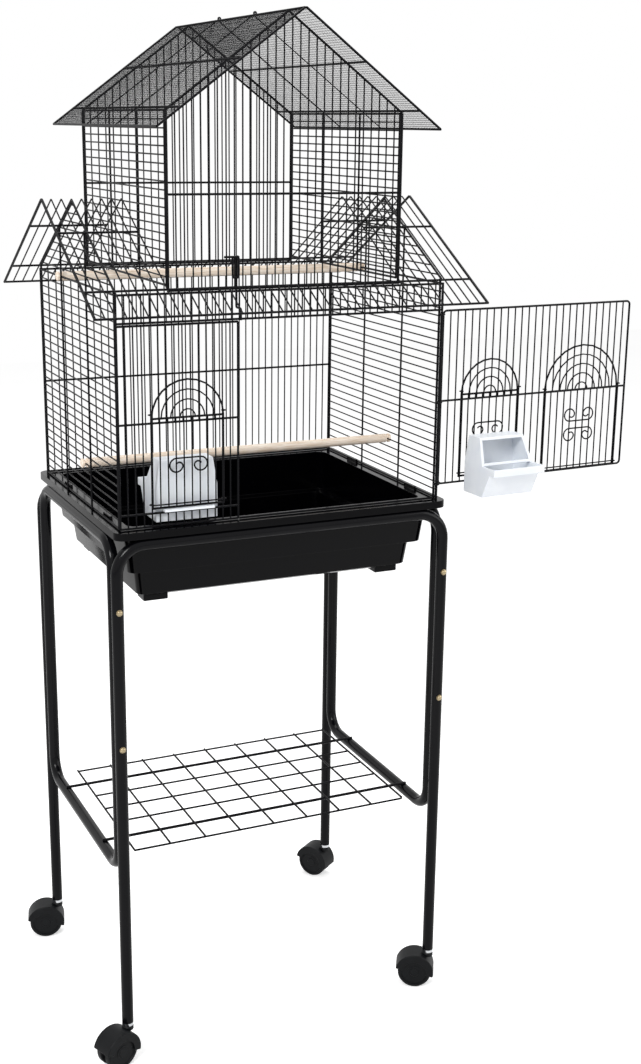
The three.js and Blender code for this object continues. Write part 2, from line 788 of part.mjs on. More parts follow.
add('cage_front_fixed_panel', frontFixedPanel(), BLACK_WIRE, 0.45, 0.2);
add('cage_front_header', frontHeader(), BLACK_WIRE, 0.45, 0.2);
add('door_post', rod(HINGE_PIN_R, point(POST_X, -HALF_D, BASE_Z),
  point(POST_X, -HALF_D, HEADER_Z - SEAT), 12), BLACK_WIRE, 0.4, 0.2);
add('door_sill', box(JAMB_X + RAIL / 2 + SEAT, SILL_END, -HALF_D - THICK / 2,
  -HALF_D + THICK / 2, BASE_Z, BASE_Z + RAIL), BLACK_WIRE, 0.45, 0.2);

// ---------------------------------------------------------------- guillotine doors
const ARC_STEPS = 6;

function halfRing(radiusIn, radiusOut, base) {
  const low = base;
  const ring = [];
  const out = Math.asin(low / radiusOut);
  for (let i = 0; i <= ARC_STEPS; i += 1) {
    const angle = out + ((Math.PI - 2 * out) * i) / ARC_STEPS;
    ring.push([radiusOut * Math.cos(angle), radiusOut * Math.sin(angle)]);
  }
  if (radiusIn > low) {
    const start = Math.asin(low / radiusIn);
    for (let i = ARC_STEPS; i >= 0; i -= 1) {
      const angle = start + ((Math.PI - 2 * start) * i) / ARC_STEPS;
      ring.push([radiusIn * Math.cos(angle), radiusIn * Math.sin(angle)]);
    }
  }
  return ring;
}

// One C shaped scroll: two curled ends under (or over) a flat wire.
function scroll(v, up) {
  const wire = 1.6;
  const curl = 7;
  const reach = 15;
  const near = SLIDE_THICK / 2 - WELD;
  const far = SLIDE_THICK / 2 + 1.4;
  const middle = (near + far) / 2;
  const list = [box(-reach, reach, v + up * curl - wire / 2, v + up * curl + wire / 2, near, far)];
  [-1, 1].forEach((side) => {
    const ring = plate(circlePoints(curl + wire / 2, 7), [circlePoints(curl - wire / 2, 7)],
      far - near);
    ring.translate(side * reach, v, middle);
    list.push(ring);
  });
  return list;
}

// Guillotine door in local coordinates: u across from its centre line, v up from its bottom.
function slideDoor(width, count, arcs, scrolls) {
  const half = width / 2;
  const pitch = width / count;
  const bars = spaced(-half, half, count);
  const railV = SLIDE_H - RAIL / 2;
  const outline = [[-half - BAR / 2, 0], [half + BAR / 2, 0]];
  for (let i = 0; i <= ARC_STEPS + 2; i += 1) {
    const angle = (Math.PI * i) / (ARC_STEPS + 2);
    const radius = half + BAR / 2;
    outline.push([radius * Math.cos(angle), railV + radius * Math.sin(angle)]);
  }
  const openings = cells(gaps(bars, BAR, BAR), [[RAIL, SLIDE_H - RAIL]], []);
  for (let k = 0; k < arcs; k += 1) {
    const radiusOut = half - k * pitch - BAR / 2;
    const radiusIn = k + 1 < arcs ? half - (k + 1) * pitch + BAR / 2 : 0;
    const ring = halfRing(radiusIn, radiusOut, RAIL / 2);
    openings.push(ring.map(([u, v]) => [u, v + railV]));
  }
  const pieces = [plate(outline, openings, SLIDE_THICK)];
  const tab = BAR + 2 * CLEAR + 1.2;
  const back = -(SLIDE_THICK / 2 + SEAT + THICK + CLEAR + 1.2);
  [-1, 1].forEach((side) => {
    [SLIDE_LOW_HOOK, SLIDE_H + SLIDE_HIGH_HOOK].forEach((v) => {
      const foot = side * (half - BAR / 2 - CLEAR);
      pieces.push(box(foot, foot - side * 1.2, v - 1.4, v + 1.4, back, -SLIDE_THICK / 2 + WELD));
      pieces.push(box(foot - side * 1.2, foot - side * 1.2 + side * tab, v - 1.4, v + 1.4,
        back, back + 1.2));
      pieces.push(box(foot - side * 1.2, side * (half + BAR / 2), v - 1.4, v + 1.4,
        -SLIDE_THICK / 2, SLIDE_THICK / 2 - 0.1));
    });
  });
  scrolls.forEach(([v, up]) => pieces.push(...scroll(v, up)));
  return join(pieces);
}

const FEEDER_SCROLLS = [[SLIDE_H - 60, 1]];
const ENTRY_SCROLLS = [[SLIDE_H - 40, -1], [SLIDE_H - 66, 1]];

// ---------------------------------------------------------------- hooded cup
// Local: u along the panel, v up, w away from the bars into the cage.
function cup() {
  const wall = CUP_WALL;
  const outside = [
    [0, 0],
    [46, 0],
    [62, 34],
    [CUP_DEPTH, 34],
    [CUP_DEPTH, 42],
    [44, 45],
    [26, CUP_H],
    [0, CUP_H],
  ];
  const inside = [
    [wall, wall + 1],
    [46 - wall, wall + 1],
    [62 - wall, 36],
    [CUP_DEPTH - wall, 37],
    [CUP_DEPTH - wall, 62],
    [60, CUP_H - wall],
    [wall, CUP_H - wall],
  ];
  const block = plate(outside, [], CUP_W);
  const hollow = plate(inside, [], CUP_W - 2 * wall);
  const ledge = box(-CUP_LEDGE_OUT, wall / 2, CUP_LEDGE_Z, CUP_LEDGE_Z + CUP_LEDGE,
    -CUP_LEDGE_W / 2, CUP_LEDGE_W / 2);
  const geometry = join([cut(block, [hollow]), ledge]);
  return geometry;
}

// ---------------------------------------------------------------- front feeder
const frontFeederLeft = fixedBars[FRONT_FEEDER_FIRST];
const frontFeederRight = fixedBars[FRONT_FEEDER_LAST];
const frontFeederX = (frontFeederLeft + frontFeederRight) / 2;
const CUP_BOTTOM_Z = LEDGE_RAIL_Z + RAIL + SEAT - CUP_LEDGE_Z;
const SLIDE_Z = CUP_BOTTOM_Z + CUP_LEDGE_Z + CUP_LEDGE + SEAT;
const FEEDER_COUNT = FRONT_FEEDER_LAST - FRONT_FEEDER_FIRST;

function frontFeederDoor() {
  const geometry = slideDoor(frontFeederRight - frontFeederLeft, FEEDER_COUNT, 4, FEEDER_SCROLLS);
  const y = -HALF_D - THICK / 2 - SEAT - SLIDE_THICK / 2;
  return placeOn(geometry, point(frontFeederX, y, SLIDE_Z), X, Z);
}

function frontCup() {
  const y = -HALF_D + THICK / 2 + 2.4;
  return placeOn(cup(), point(frontFeederX, y, CUP_BOTTOM_Z), Y, Z);
}

add('front_feeder_door', frontFeederDoor(), BLACK_WIRE, 0.45, 0.2);
add('front_cup', frontCup(), CUP_WHITE, 0.35);

// ---------------------------------------------------------------- big door
// Local: s away from the hinge axis, t = toward the inside face, z up. Inside faces -Y when open.
const doorAngle = THREE.MathUtils.degToRad(DOOR_REST);
const doorS = new THREE.Vector3(Math.cos(doorAngle), Math.sin(doorAngle), 0);
const doorOut = new THREE.Vector3(-Math.sin(doorAngle), Math.cos(doorAngle), 0);
const doorOrigin = point(POST_X, -HALF_D, 0);
const doorPlane = doorOrigin.clone().addScaledVector(doorOut, DOOR_OFFSET);
const doorBars = spaced(DOOR_START + RAIL / 2, DOOR_W - RAIL / 2, DOOR_GAPS);
const DOOR_LOW = FLANGE_Z + DOOR_BOTTOM_H;
const DOOR_HIGH = FLANGE_Z + DOOR_TOP_H;
const KNUCKLE_ZS = [DOOR_LOW + 3, MID_Z, DOOR_HIGH - 5];

function knuckle(z) {
  const ring = plate(circlePoints(KNUCKLE_R, 12),
    [circlePoints(HINGE_PIN_R + CLEAR, 12)], KNUCKLE_H);
  ring.translate(0, 0, z);
  const arm = box(3.4, DOOR_START + 1, DOOR_OFFSET - 4.6, DOOR_OFFSET + THICK / 2,
    z - KNUCKLE_H / 2, z + KNUCKLE_H / 2);
  return [ring, arm];
}

function bigDoor() {
  const columns = gaps(doorBars, RAIL, BAR);
  const low = [DOOR_LOW + RAIL, MID_Z - RAIL / 2];
  const high = [MID_Z + RAIL / 2, DOOR_HIGH - RAIL];
  const solidColumn = (c, i) =>
    (i < FEEDER_FIRST || i >= FEEDER_LAST) && (i < ENTRY_FIRST || i >= ENTRY_LAST);
  const opening = (a, b) => rectangle(doorBars[a] + BAR / 2, doorBars[b] - BAR / 2, low[0], low[1]);
  const openings = [
    ...cells(columns, [high], []),
    ...cells(columns.filter(solidColumn), [low], []),
    opening(FEEDER_FIRST, FEEDER_LAST),
    opening(ENTRY_FIRST, ENTRY_LAST),
  ];
  const grid = plate(rectangle(DOOR_START, DOOR_W, DOOR_LOW, DOOR_HIGH), openings, THICK);
  placeOn(grid, point(0, DOOR_OFFSET, 0), X, Z);
  const pieces = [grid];
  KNUCKLE_ZS.forEach((z) => pieces.push(...knuckle(z)));
  const geometry = join(pieces);
  return placeOn(geometry, doorOrigin, doorS, doorOut);
}

function onDoor(geometry, s, out, z, flip) {
  const origin = doorPlane.clone().addScaledVector(doorS, s).addScaledVector(doorOut, out);
  origin.z = z;
  const u = flip ? doorS.clone().negate() : doorS;
  return placeOn(geometry, origin, u, Z);
}

function doorSlide(first, last, arcs, scrolls, z) {
  const geometry = slideDoor(doorBars[last] - doorBars[first], last - first, arcs, scrolls);
  const out = THICK / 2 + SEAT + SLIDE_THICK / 2;
  return onDoor(geometry, (doorBars[first] + doorBars[last]) / 2, out, z, true);
}

function doorCup() {
  const s = (doorBars[FEEDER_FIRST] + doorBars[FEEDER_LAST]) / 2;
  const origin = doorPlane.clone().addScaledVector(doorS, s);
  origin.addScaledVector(doorOut, -THICK / 2 - 2.4);
  origin.z = CUP_BOTTOM_Z;
  return placeOn(cup(), origin, doorOut.clone().negate(), Z);
}

add('big_door', bigDoor(), BLACK_WIRE, 0.45, 0.2);
add('door_feeder_door', doorSlide(FEEDER_FIRST, FEEDER_LAST, 4, FEEDER_SCROLLS, SLIDE_Z),
  BLACK_WIRE, 0.45, 0.2);
add('door_entry_door', doorSlide(ENTRY_FIRST, ENTRY_LAST, 5, ENTRY_SCROLLS, DOOR_LOW),
  BLACK_WIRE, 0.45, 0.2);
add('door_cup', doorCup(), CUP_WHITE, 0.35);

// ---------------------------------------------------------------- door latch
const LATCH_X = -68.5;
const LATCH_WIRE = 2.4;
const LATCH_LOW_H = 263.6;       // hook clear of the closing door
const LATCH_CROSS_H = 277;
const LATCH_HIGH_H = 341;
const LATCH_LOOP = 26;

function latch() {
  const half = LATCH_WIRE / 2;
  const insideY = -HALF_D + THICK / 2 + CLEAR + half;
  const hookY = -HALF_D - DOOR_OFFSET - THICK / 2 - SLIDE_THICK - 1.5;
  const handleY = -HALF_D - THICK / 2 - 5;
  const low = FLANGE_Z + LATCH_LOW_H;
  const cross = FLANGE_Z + LATCH_CROSS_H;
  const high = FLANGE_Z + LATCH_HIGH_H;
  const bar = (x0, x1, y0, y1, z0, z1) =>
    box(Math.min(x0, x1) - half, Math.max(x0, x1) + half, Math.min(y0, y1) - half,
      Math.max(y0, y1) + half, Math.min(z0, z1) - half, Math.max(z0, z1) + half);
  return join([
    bar(LATCH_X, LATCH_X, insideY, insideY, cross, high),
    bar(LATCH_X, LATCH_X, hookY, insideY, cross, cross),
    bar(LATCH_X, LATCH_X, hookY, hookY, low, cross),
    bar(LATCH_X, LATCH_X, handleY, insideY, high, high),
    bar(LATCH_X - 20, LATCH_X, handleY, handleY, high, high),
    bar(LATCH_X - 8, LATCH_X - 8, handleY, handleY, high - LATCH_LOOP, high),
    bar(LATCH_X - 8, LATCH_X, handleY, handleY, high - LATCH_LOOP, high - LATCH_LOOP),
  ]);
}

add('door_latch', latch(), BLACK_WIRE, 0.4, 0.3);

// ---------------------------------------------------------------- perches
function perch(y, z, wireHalf) {
  const reach = HALF_W + THICK / 2 + PERCH_OUT;
  const dowel = rod(PERCH_R, point(-reach, y, z), point(reach, y, z), 14);
  const slotHalf = wireHalf + SEAT;
  const slotStart = HALF_W - THICK / 2 - SEAT;
  const slots = [-1, 1].map((side) =>
    box(side * slotStart, side * (reach + 1), y - PERCH_R - 1, y + PERCH_R + 1,
      z - slotHalf, z + slotHalf));
  return cut(dowel, slots);
}

const wallBars = spaced(BASE_Z + RAIL / 2, WALL_TOP - RAIL / 2, WALL_GAPS);
const lowPerchZ = wallBars.reduce((best, z) =>
  (Math.abs(z - FLANGE_Z - PERCH_LOW_H) < Math.abs(best - FLANGE_Z - PERCH_LOW_H) ? z : best));
add('perch_lower', perch(PERCH_LOW_Y, lowPerchZ, BAR / 2), PINE, 0.7);
add('perch_upper', perch(PERCH_HIGH_Y, WALL_TOP - RAIL / 2, RAIL / 2), PINE, 0.7);

// ---------------------------------------------------------------- upper storey
const TOWER_MID_Z = FLANGE_Z + TOWER_MID_H;
const TOWER_BASE = WALL_TOP + SEAT;
const TOWER_OUT = HALF_T + THICK / 2;
const PERCH_TOP = WALL_TOP - RAIL / 2 + PERCH_R;
const TOWER_SIDE_BASE = PERCH_TOP + 1.5;

function towerGable(side) {
  const apex = RIDGE_Z - MAIN_UNDER;
  const bars = spaced(-TOWER_OUT + POST / 2, TOWER_OUT - POST / 2, TOWER_GAPS);
  const grid = plate(
    gableOutline(-TOWER_OUT, TOWER_OUT, TOWER_BASE, apex, MAIN_TAN),
    cells(gaps(bars, POST, BAR), [[TOWER_BASE + RAIL, apex]],
      gableLimits(apex, MAIN_TAN, RAIL)),
    THICK,
  );
  const rail = crossRail(-TOWER_OUT, TOWER_OUT, TOWER_MID_Z, -1);
  const geometry = join([grid, ...rail]);
  const u = side < 0 ? X : X.clone().negate();
  return placeOn(geometry, point(0, side * HALF_D, 0), u, Z);
}

function towerSide(side) {
  const inset = THICK + SEAT + CROSS;
  const end = SIDE_END - (inset - THICK);
  const top = RIDGE_Z - MAIN_UNDER - MAIN_TAN * TOWER_OUT;
  const rows = gaps(spaced(TOWER_SIDE_BASE + RAIL / 2, top - RAIL / 2, TOWER_WALL_GAPS), RAIL, BAR);
  const grid = plate(rectangle(-end, end, TOWER_SIDE_BASE, top),
    cells([[-end + RAIL, end - RAIL]], rows, []), THICK);
  const pieces = [grid];
  [-STRONG_Y, STRONG_Y].forEach((u) => {
    pieces.push(...crossUpright(u, TOWER_SIDE_BASE, top, -side));
  });
  return placeOn(join(pieces), point(side * HALF_T, 0, 0), Y, Z);
}

add('tower_front_panel', towerGable(-1), BLACK_WIRE, 0.45, 0.2);
add('tower_back_panel', towerGable(1), BLACK_WIRE, 0.45, 0.2);
add('tower_left_panel', towerSide(-1), BLACK_WIRE, 0.45, 0.2);
add('tower_right_panel', towerSide(1), BLACK_WIRE, 0.45, 0.2);

// ---------------------------------------------------------------- lower roof
const LOW_LENGTH = Math.hypot(LOW_ROOF_Y, LOW_ROOF_DROP);
const LOW_PITCHES = 8;
const BAND_PITCHES = 24;

// Slope in local coordinates: u along X, v down the slope from the ridge line.
function lowRoofSlope(side) {
  const inner = TOWER_OUT + SEAT;
  const start = (THICK / 2) * Math.sin(LOW_ANGLE) / Math.cos(LOW_ANGLE) + 0.25;
  const bandTop = (HALF_D + THICK / 2 + SEAT + 0.8) / Math.cos(LOW_ANGLE);
  const outline = [
    [-LOW_ROOF_X, start],
    [-inner, start],
    [-inner, bandTop],
    [inner, bandTop],
    [inner, start],
    [LOW_ROOF_X, start],
    [LOW_ROOF_X, LOW_LENGTH],
    [-LOW_ROOF_X, LOW_LENGTH],
  ];
  const row = [start + RAIL, LOW_LENGTH - RAIL];
  const wing = gaps(spaced(inner + BAR / 2, LOW_ROOF_X - BAR / 2, LOW_PITCHES), BAR, BAR);
  const band = gaps(spaced(-inner, inner, BAND_PITCHES), BAR, BAR);
  const openings = [
    ...cells(wing, [row], []),
    ...cells(wing.map(([a, b]) => [-b, -a]), [row], []),
    ...cells(band, [[bandTop + RAIL, LOW_LENGTH - RAIL]], []),
  ];
  const pieces = [plate(outline, openings, THICK)];
  [LOW_RAIL, LOW_BAND].forEach((share) => {
    const v = share * LOW_LENGTH;
    [[-LOW_ROOF_X, -inner], [inner, LOW_ROOF_X]].forEach(([a, b]) => {
      pieces.push(...crossWire(a, b, v - RAIL / 2, v + RAIL / 2, side, BAR - 0.4, RAIL));
    });
  });
  const down = point(0, side * Math.cos(LOW_ANGLE), -Math.sin(LOW_ANGLE));
  return placeOn(join(pieces), point(0, 0, LOW_RIDGE_Z), X, down);
}

add('lower_roof_front', lowRoofSlope(-1), BLACK_WIRE, 0.45, 0.2);
add('lower_roof_back', lowRoofSlope(1), BLACK_WIRE, 0.45, 0.2);

// ---------------------------------------------------------------- main roof
const MAIN_LENGTH = Math.hypot(MAIN_ROOF_X, MAIN_ROOF_DROP);
const MAIN_RAILS = [0.43, 0.84];

// Woven mesh held in a wire frame; the mesh is drawn as a thin unpierced sheet.
function mainRoofSlope(side) {
  const start = (THICK / 2) * Math.tan(MAIN_ANGLE) + 0.25;
  const rails = [start + RAIL / 2, ...MAIN_RAILS.map((s) => s * MAIN_LENGTH),
    MAIN_LENGTH - RAIL / 2];
  const rafters = [-MAIN_ROOF_Y + RAIL / 2, -RAFTER_Y, RAFTER_Y, MAIN_ROOF_Y - RAIL / 2];
  const frame = plate(rectangle(-MAIN_ROOF_Y, MAIN_ROOF_Y, start, MAIN_LENGTH),
    cells(gaps(rafters, RAIL, RAIL), gaps(rails, RAIL, RAIL), []), THICK);
  const sheet = plate(rectangle(-MAIN_ROOF_Y + 1, MAIN_ROOF_Y - 1, start + 1, MAIN_LENGTH - 1),
    [], MESH_T);
  const pieces = [frame, sheet];
  if (side > 0) {
    [-RAFTER_Y, RAFTER_Y].forEach((u) => {
      pieces.push(box(u - 2, u + 2, start + 2, start + 9, THICK / 2 - WELD, THICK / 2 + 4));
    });
  }
  const geometry = join(pieces);
  const down = point(side * Math.cos(MAIN_ANGLE), 0, -Math.sin(MAIN_ANGLE));
  const u = side > 0 ? Y.clone().negate() : Y;
  const w = new THREE.Vector3().crossVectors(u, down);
  if (w.z < 0) {
    throw new Error('the outer face of the roof must look up');
  }
  return placeOn(geometry, point(0, 0, RIDGE_Z), u, down);
}

add('main_roof_left', mainRoofSlope(-1), BLACK_WIRE, 0.45, 0.2);
add('main_roof_right', mainRoofSlope(1), BLACK_WIRE, 0.45, 0.2);

// ---------------------------------------------------------------- origin at bottom centre
group.updateMatrixWorld(true);
const bounds = new THREE.Box3().setFromObject(group);
const centre = bounds.getCenter(new THREE.Vector3());
group.children.forEach((mesh) => {
  mesh.geometry.translate(-centre.x, -centre.y, -bounds.min.z);
});

export default group;
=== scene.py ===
"""Bird cage with a pagoda roof on a tubular stand: the looks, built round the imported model.

Lengths are in millimetres. Places are measured from the point on the floor under the middle of
the tray, +X right, +Y back, +Z up. at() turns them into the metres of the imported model's frame.
"""
import json
from math import atan2, cos, hypot, pi, radians, sin, tan

import bpy
from mathutils import Matrix, Vector


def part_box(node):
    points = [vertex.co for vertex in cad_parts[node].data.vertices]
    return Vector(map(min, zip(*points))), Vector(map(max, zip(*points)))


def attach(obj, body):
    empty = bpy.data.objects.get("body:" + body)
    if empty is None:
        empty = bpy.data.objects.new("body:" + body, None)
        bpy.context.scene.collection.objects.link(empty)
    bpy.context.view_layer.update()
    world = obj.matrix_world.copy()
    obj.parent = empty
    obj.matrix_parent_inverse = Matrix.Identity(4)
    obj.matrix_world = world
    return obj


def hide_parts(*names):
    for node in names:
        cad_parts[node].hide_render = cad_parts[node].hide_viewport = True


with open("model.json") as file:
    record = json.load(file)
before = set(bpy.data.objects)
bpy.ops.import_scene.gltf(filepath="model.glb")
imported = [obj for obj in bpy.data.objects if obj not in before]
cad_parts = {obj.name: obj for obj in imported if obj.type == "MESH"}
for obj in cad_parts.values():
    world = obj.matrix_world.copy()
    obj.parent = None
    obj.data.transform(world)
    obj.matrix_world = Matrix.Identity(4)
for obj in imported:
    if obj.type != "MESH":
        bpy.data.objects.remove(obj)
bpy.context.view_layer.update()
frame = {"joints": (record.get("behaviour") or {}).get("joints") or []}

MM = 0.001
X = Vector((1, 0, 0))
Y = Vector((0, 1, 0))
Z = Vector((0, 0, 1))


# ---------------------------------------------------------------- places taken from the frame
def tray_middle():
    """The point on the floor under the middle of the tray, in metres."""
    low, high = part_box("tray")
    return Vector(((low.x + high.x) / 2, (low.y + high.y) / 2, 0))


MIDDLE = tray_middle()


def at(place):
    """The frame's point, in metres, of a place in millimetres from the middle."""
    return MIDDLE + Vector(place) * MM


def span(node):
    """Lowest and highest corner of a CAD node, in millimetres from the middle."""
    low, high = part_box(node)
    return (low - MIDDLE) / MM, (high - MIDDLE) / MM


def joint_place(name):
    """A point on a joint's axis, in millimetres from the middle."""
    joint = next(j for j in frame["joints"] if j["name"] == name)
    return (Vector(joint["pos_m"]) - MIDDLE) / MM


# ---------------------------------------------------------------- sizes
BAR_R = 1.0                      # thin grille bars
RAIL_R = 1.5                     # rails and frame wires
POST_R = 1.7                     # corner posts
UPRIGHT_R = 1.4                  # heavy uprights in the side walls
ROOF_EDGE_R = 1.8                # end rafters of the lower roof, posts of the upper storey
MESH_R = 0.27                    # fine wire of the roof mesh
MESH_PITCH = 4.2                 # coarser than the real mesh, so that its wires show
TUBE_R = 8                       # tubes of the stand
SEAT = 0.3                       # gap between pieces that rest on each other
RAIL_LAP = 2.3                   # a middle rail lies on its bars, middle to middle
UPRIGHT_LAP = 2.2                # and so does a heavy upright

BACK_LOW, BACK_HIGH = span("cage_back_panel")
FIXED_LOW, FIXED_HIGH = span("cage_front_fixed_panel")
FLOOR_Z = BACK_LOW.z
FLANGE_Z = FLOOR_Z - SEAT
WALL_TOP = BACK_HIGH.z
HALF_W = BACK_HIGH.x - 2.5       # middle of the corner posts
HALF_D = -(FIXED_LOW.y + RAIL_R)
MID_Z = FLANGE_Z + 136           # middle rails of the cage
HEADER_Z = FIXED_HIGH.z + SEAT
JAMB_X = FIXED_HIGH.x - RAIL_R
TOWER_MID_Z = FLANGE_Z + 417     # middle rails of the upper storey
RIDGE_Z = FLANGE_Z + 639
LOW_RIDGE_Z = FLANGE_Z + 404
STRONG_Y = 59.5                  # where those uprights stand, either side of the middle
LEDGE_Z = FLANGE_Z + 19          # rail that the front cup hangs on

# Half width, half depth and fall from ridge to eave of each roof.
LOW_X, LOW_Y, LOW_DROP = 270, 230, 129
MAIN_X, MAIN_Y, MAIN_DROP = 191, 229, 141
LOW_SLOPE = atan2(LOW_DROP, LOW_Y)
MAIN_SLOPE = atan2(MAIN_DROP, MAIN_X)

# Gaps between the bars, from one end of a grille to the other.
BODY_GAPS, SIDE_GAPS, FIXED_GAPS, DOOR_GAPS = 42, 27, 15, 27
TOWER_GAPS, TOWER_SIDE_GAPS = 29, 20

LEG_X, LEG_Y = 237, 185
LEGS = {"fl": (-LEG_X, -LEG_Y), "fr": (LEG_X, -LEG_Y), "bl": (-LEG_X, LEG_Y), "br": (LEG_X, LEG_Y)}


# ---------------------------------------------------------------- modelling tools
def start_wire(place, along, radius, sides=8, filled=True):
    """Adds a wire's round section, facing along the wire, and opens it for editing."""
    bpy.ops.object.select_all(action="DESELECT")
    facing = Vector(along).to_track_quat("Z", "Y").to_euler()
    bpy.ops.mesh.primitive_circle_add(
        vertices=sides, radius=radius * MM, fill_type="NGON" if filled else "NOTHING",
        location=at(place), rotation=facing)
    bpy.ops.object.mode_set(mode="EDIT")
    bpy.ops.mesh.select_mode(type="VERT")
    bpy.ops.mesh.select_all(action="SELECT")


def run(move):
    """Draws the section straight on, unless the way is too short to matter."""
    if Vector(move).length > 0.01:
        bpy.ops.mesh.extrude_region_move(
            TRANSFORM_OT_translate={"value": Vector(move) * MM, "orient_type": "GLOBAL"})


def bend(centre, axis, angle, steps):
    """Draws the section round a bend. The spin tool turns left-handed."""
    bpy.ops.mesh.spin(steps=steps, angle=-angle, center=at(centre), axis=axis)


def swell(factor):
    """Widens or narrows the section that was drawn last, about its own middle."""
    bpy.ops.object.mode_set(mode="OBJECT")
    piece = bpy.context.object
    picked = [piece.matrix_world @ v.co for v in piece.data.vertices if v.select]
    bpy.ops.object.mode_set(mode="EDIT")
    middle = sum(picked, Vector()) / len(picked)
    bpy.ops.transform.resize(value=(factor, factor, factor), center_override=middle)


def settle():
    """Puts the place, turn and size of the active piece into its mesh."""
    bpy.ops.object.transform_apply(location=True, rotation=True, scale=True)


def end_piece(angle=40):
    """Closes the edit, turns the faces outwards and puts the place into the mesh."""
    bpy.ops.mesh.select_all(action="SELECT")
    bpy.ops.mesh.remove_doubles(threshold=0.00001)
    bpy.ops.mesh.normals_make_consistent(inside=False)
    bpy.ops.object.mode_set(mode="OBJECT")
    settle()
    bpy.ops.object.shade_smooth_by_angle(angle=radians(angle))
    return bpy.context.object


def straight(place, move, radius, sides=8):
    """A straight wire from a place, as far as the move."""
    start_wire(place, move, radius, sides)
    run(move)
    return end_piece()


def bent(corners, radius, bend_radius, sides=8, steps=4, closed=False):
    """A wire or tube through corners, each rounded to bend_radius."""
    points = [Vector(c) for c in corners]
    if closed:
        seam = (points[0] + points[-1]) / 2
        points = [seam, *points, seam]
    start_wire(points[0], points[1] - points[0], radius, sides, not closed)
    here = points[0]
    for before, corner, after in zip(points, points[1:], points[2:]):
        into = (corner - before).normalized()
        away = (after - corner).normalized()
        angle = into.angle(away)
        back = bend_radius * tan(angle / 2)
        stop = corner - into * back
        run(stop - here)
        axis = into.cross(away).normalized()
        bend(stop + axis.cross(into) * bend_radius, axis, angle, steps)
        here = corner + away * back
    run(points[-1] - here)
    return end_piece()


def hoop(centre, axis, arm, radius, angle=2 * pi, steps=16, sides=8):
    """An arc of wire: it starts at centre + arm and turns right-handed about axis."""
    whole = abs(angle) > 2 * pi - 0.01
    start_wire(centre + arm, axis.cross(arm), radius, sides, not whole)
    bend(centre, axis, angle, steps)
    return end_piece()


def row(piece, step, count):
    """Repeats a piece along a straight line."""
    line = piece.modifiers.new("row", "ARRAY")
    line.use_relative_offset = False
    line.use_constant_offset = True
    line.constant_offset_displace = Vector(step) * MM
    line.count = count
    bpy.context.view_layer.objects.active = piece
    bpy.ops.object.modifier_apply(modifier=line.name)
    return piece


def saw(piece, place, normal):
    """Saws off what stands beyond a plane and closes the cut."""
    bpy.ops.object.select_all(action="DESELECT")
    piece.select_set(True)
    bpy.context.view_layer.objects.active = piece
    bpy.ops.object.mode_set(mode="EDIT")
    bpy.ops.mesh.select_all(action="SELECT")
    bpy.ops.mesh.bisect(plane_co=at(place), plane_no=normal, use_fill=True, clear_outer=True)
    bpy.ops.object.mode_set(mode="OBJECT")
    return piece


def weld(pieces):
    """Joins pieces into one object."""
    bpy.ops.object.select_all(action="DESELECT")
    for piece in pieces:
        piece.select_set(True)
    bpy.context.view_layer.objects.active = pieces[0]
    bpy.ops.object.join()
    return bpy.context.object


def bevel(piece, width, segments=2, angle=30):
    """Rounds the sharp edges of a solid piece."""
    edge = piece.modifiers.new("edge", "BEVEL")
    edge.width = width * MM
    edge.segments = segments
    edge.limit_method = "ANGLE"
    edge.angle_limit = radians(angle)
    bpy.context.view_layer.objects.active = piece
    bpy.ops.object.modifier_apply(modifier=edge.name)
    return piece


def block(low, high):
    """Adds a box between two corners and opens it for editing, with nothing selected."""
    low, high = Vector(low), Vector(high)
    bpy.ops.object.select_all(action="DESELECT")
    bpy.ops.mesh.primitive_cube_add(size=1, location=at((low + high) / 2), scale=(high - low) * MM)
    settle()
    bpy.ops.object.mode_set(mode="EDIT")
    bpy.ops.mesh.select_all(action="DESELECT")


def pick_faces(test):
    """Selects the faces of the open piece whose middle and normal pass a test."""
    bpy.ops.mesh.select_all(action="DESELECT")
    bpy.ops.mesh.select_mode(type="FACE")
    bpy.ops.object.mode_set(mode="OBJECT")
    for face in bpy.context.object.data.polygons:
        face.select = test((face.center - MIDDLE) / MM, face.normal)
    bpy.ops.object.mode_set(mode="EDIT")


def pick_edges(test):
    """Selects the edges of the open piece whose two ends pass a test."""
    bpy.ops.mesh.select_all(action="DESELECT")
    bpy.ops.mesh.select_mode(type="EDGE")
    bpy.ops.object.mode_set(mode="OBJECT")
    mesh = bpy.context.object.data
    for edge in mesh.edges:
        one, other = ((mesh.vertices[i].co - MIDDLE) / MM for i in edge.vertices)
        edge.select = test(one, other)
    bpy.ops.object.mode_set(mode="EDIT")


def draw_face(move, wider=(1, 1, 1), centre=(0, 0, 0)):
    """Extrudes the picked faces, scales them about a centre and moves them on."""
    bpy.ops.mesh.extrude_region_move(TRANSFORM_OT_translate={"value": (0, 0, 0)})
    bpy.ops.transform.resize(value=wider, center_override=at(centre))
    bpy.ops.transform.translate(value=Vector(move) * MM)


def finish_piece(piece, name, material, slot, body, *nodes):
    """Names a finished piece, gives it its material and puts it on its body."""
    piece.name = name
    piece.data.materials.clear()
    piece.data.materials.append(material)
    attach(piece, body)
    if nodes:
        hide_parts(*nodes)
    return piece


def finish_wires(pieces, name, body, node):
    """Welds wires into one coated piece that stands for a node."""
    finish_piece(weld(pieces), name, WIRE, "wire_coat", body, node)


# ---------------------------------------------------------------- materials
def linear(hex_colour):
    """Linear colour of an sRGB hex value."""
    out = []
    for start in (1, 3, 5):
        value = int(hex_colour[start:start + 2], 16) / 255
        out.append(value / 12.92 if value <= 0.04045 else ((value + 0.055) / 1.055) ** 2.4)
    return (*out, 1)


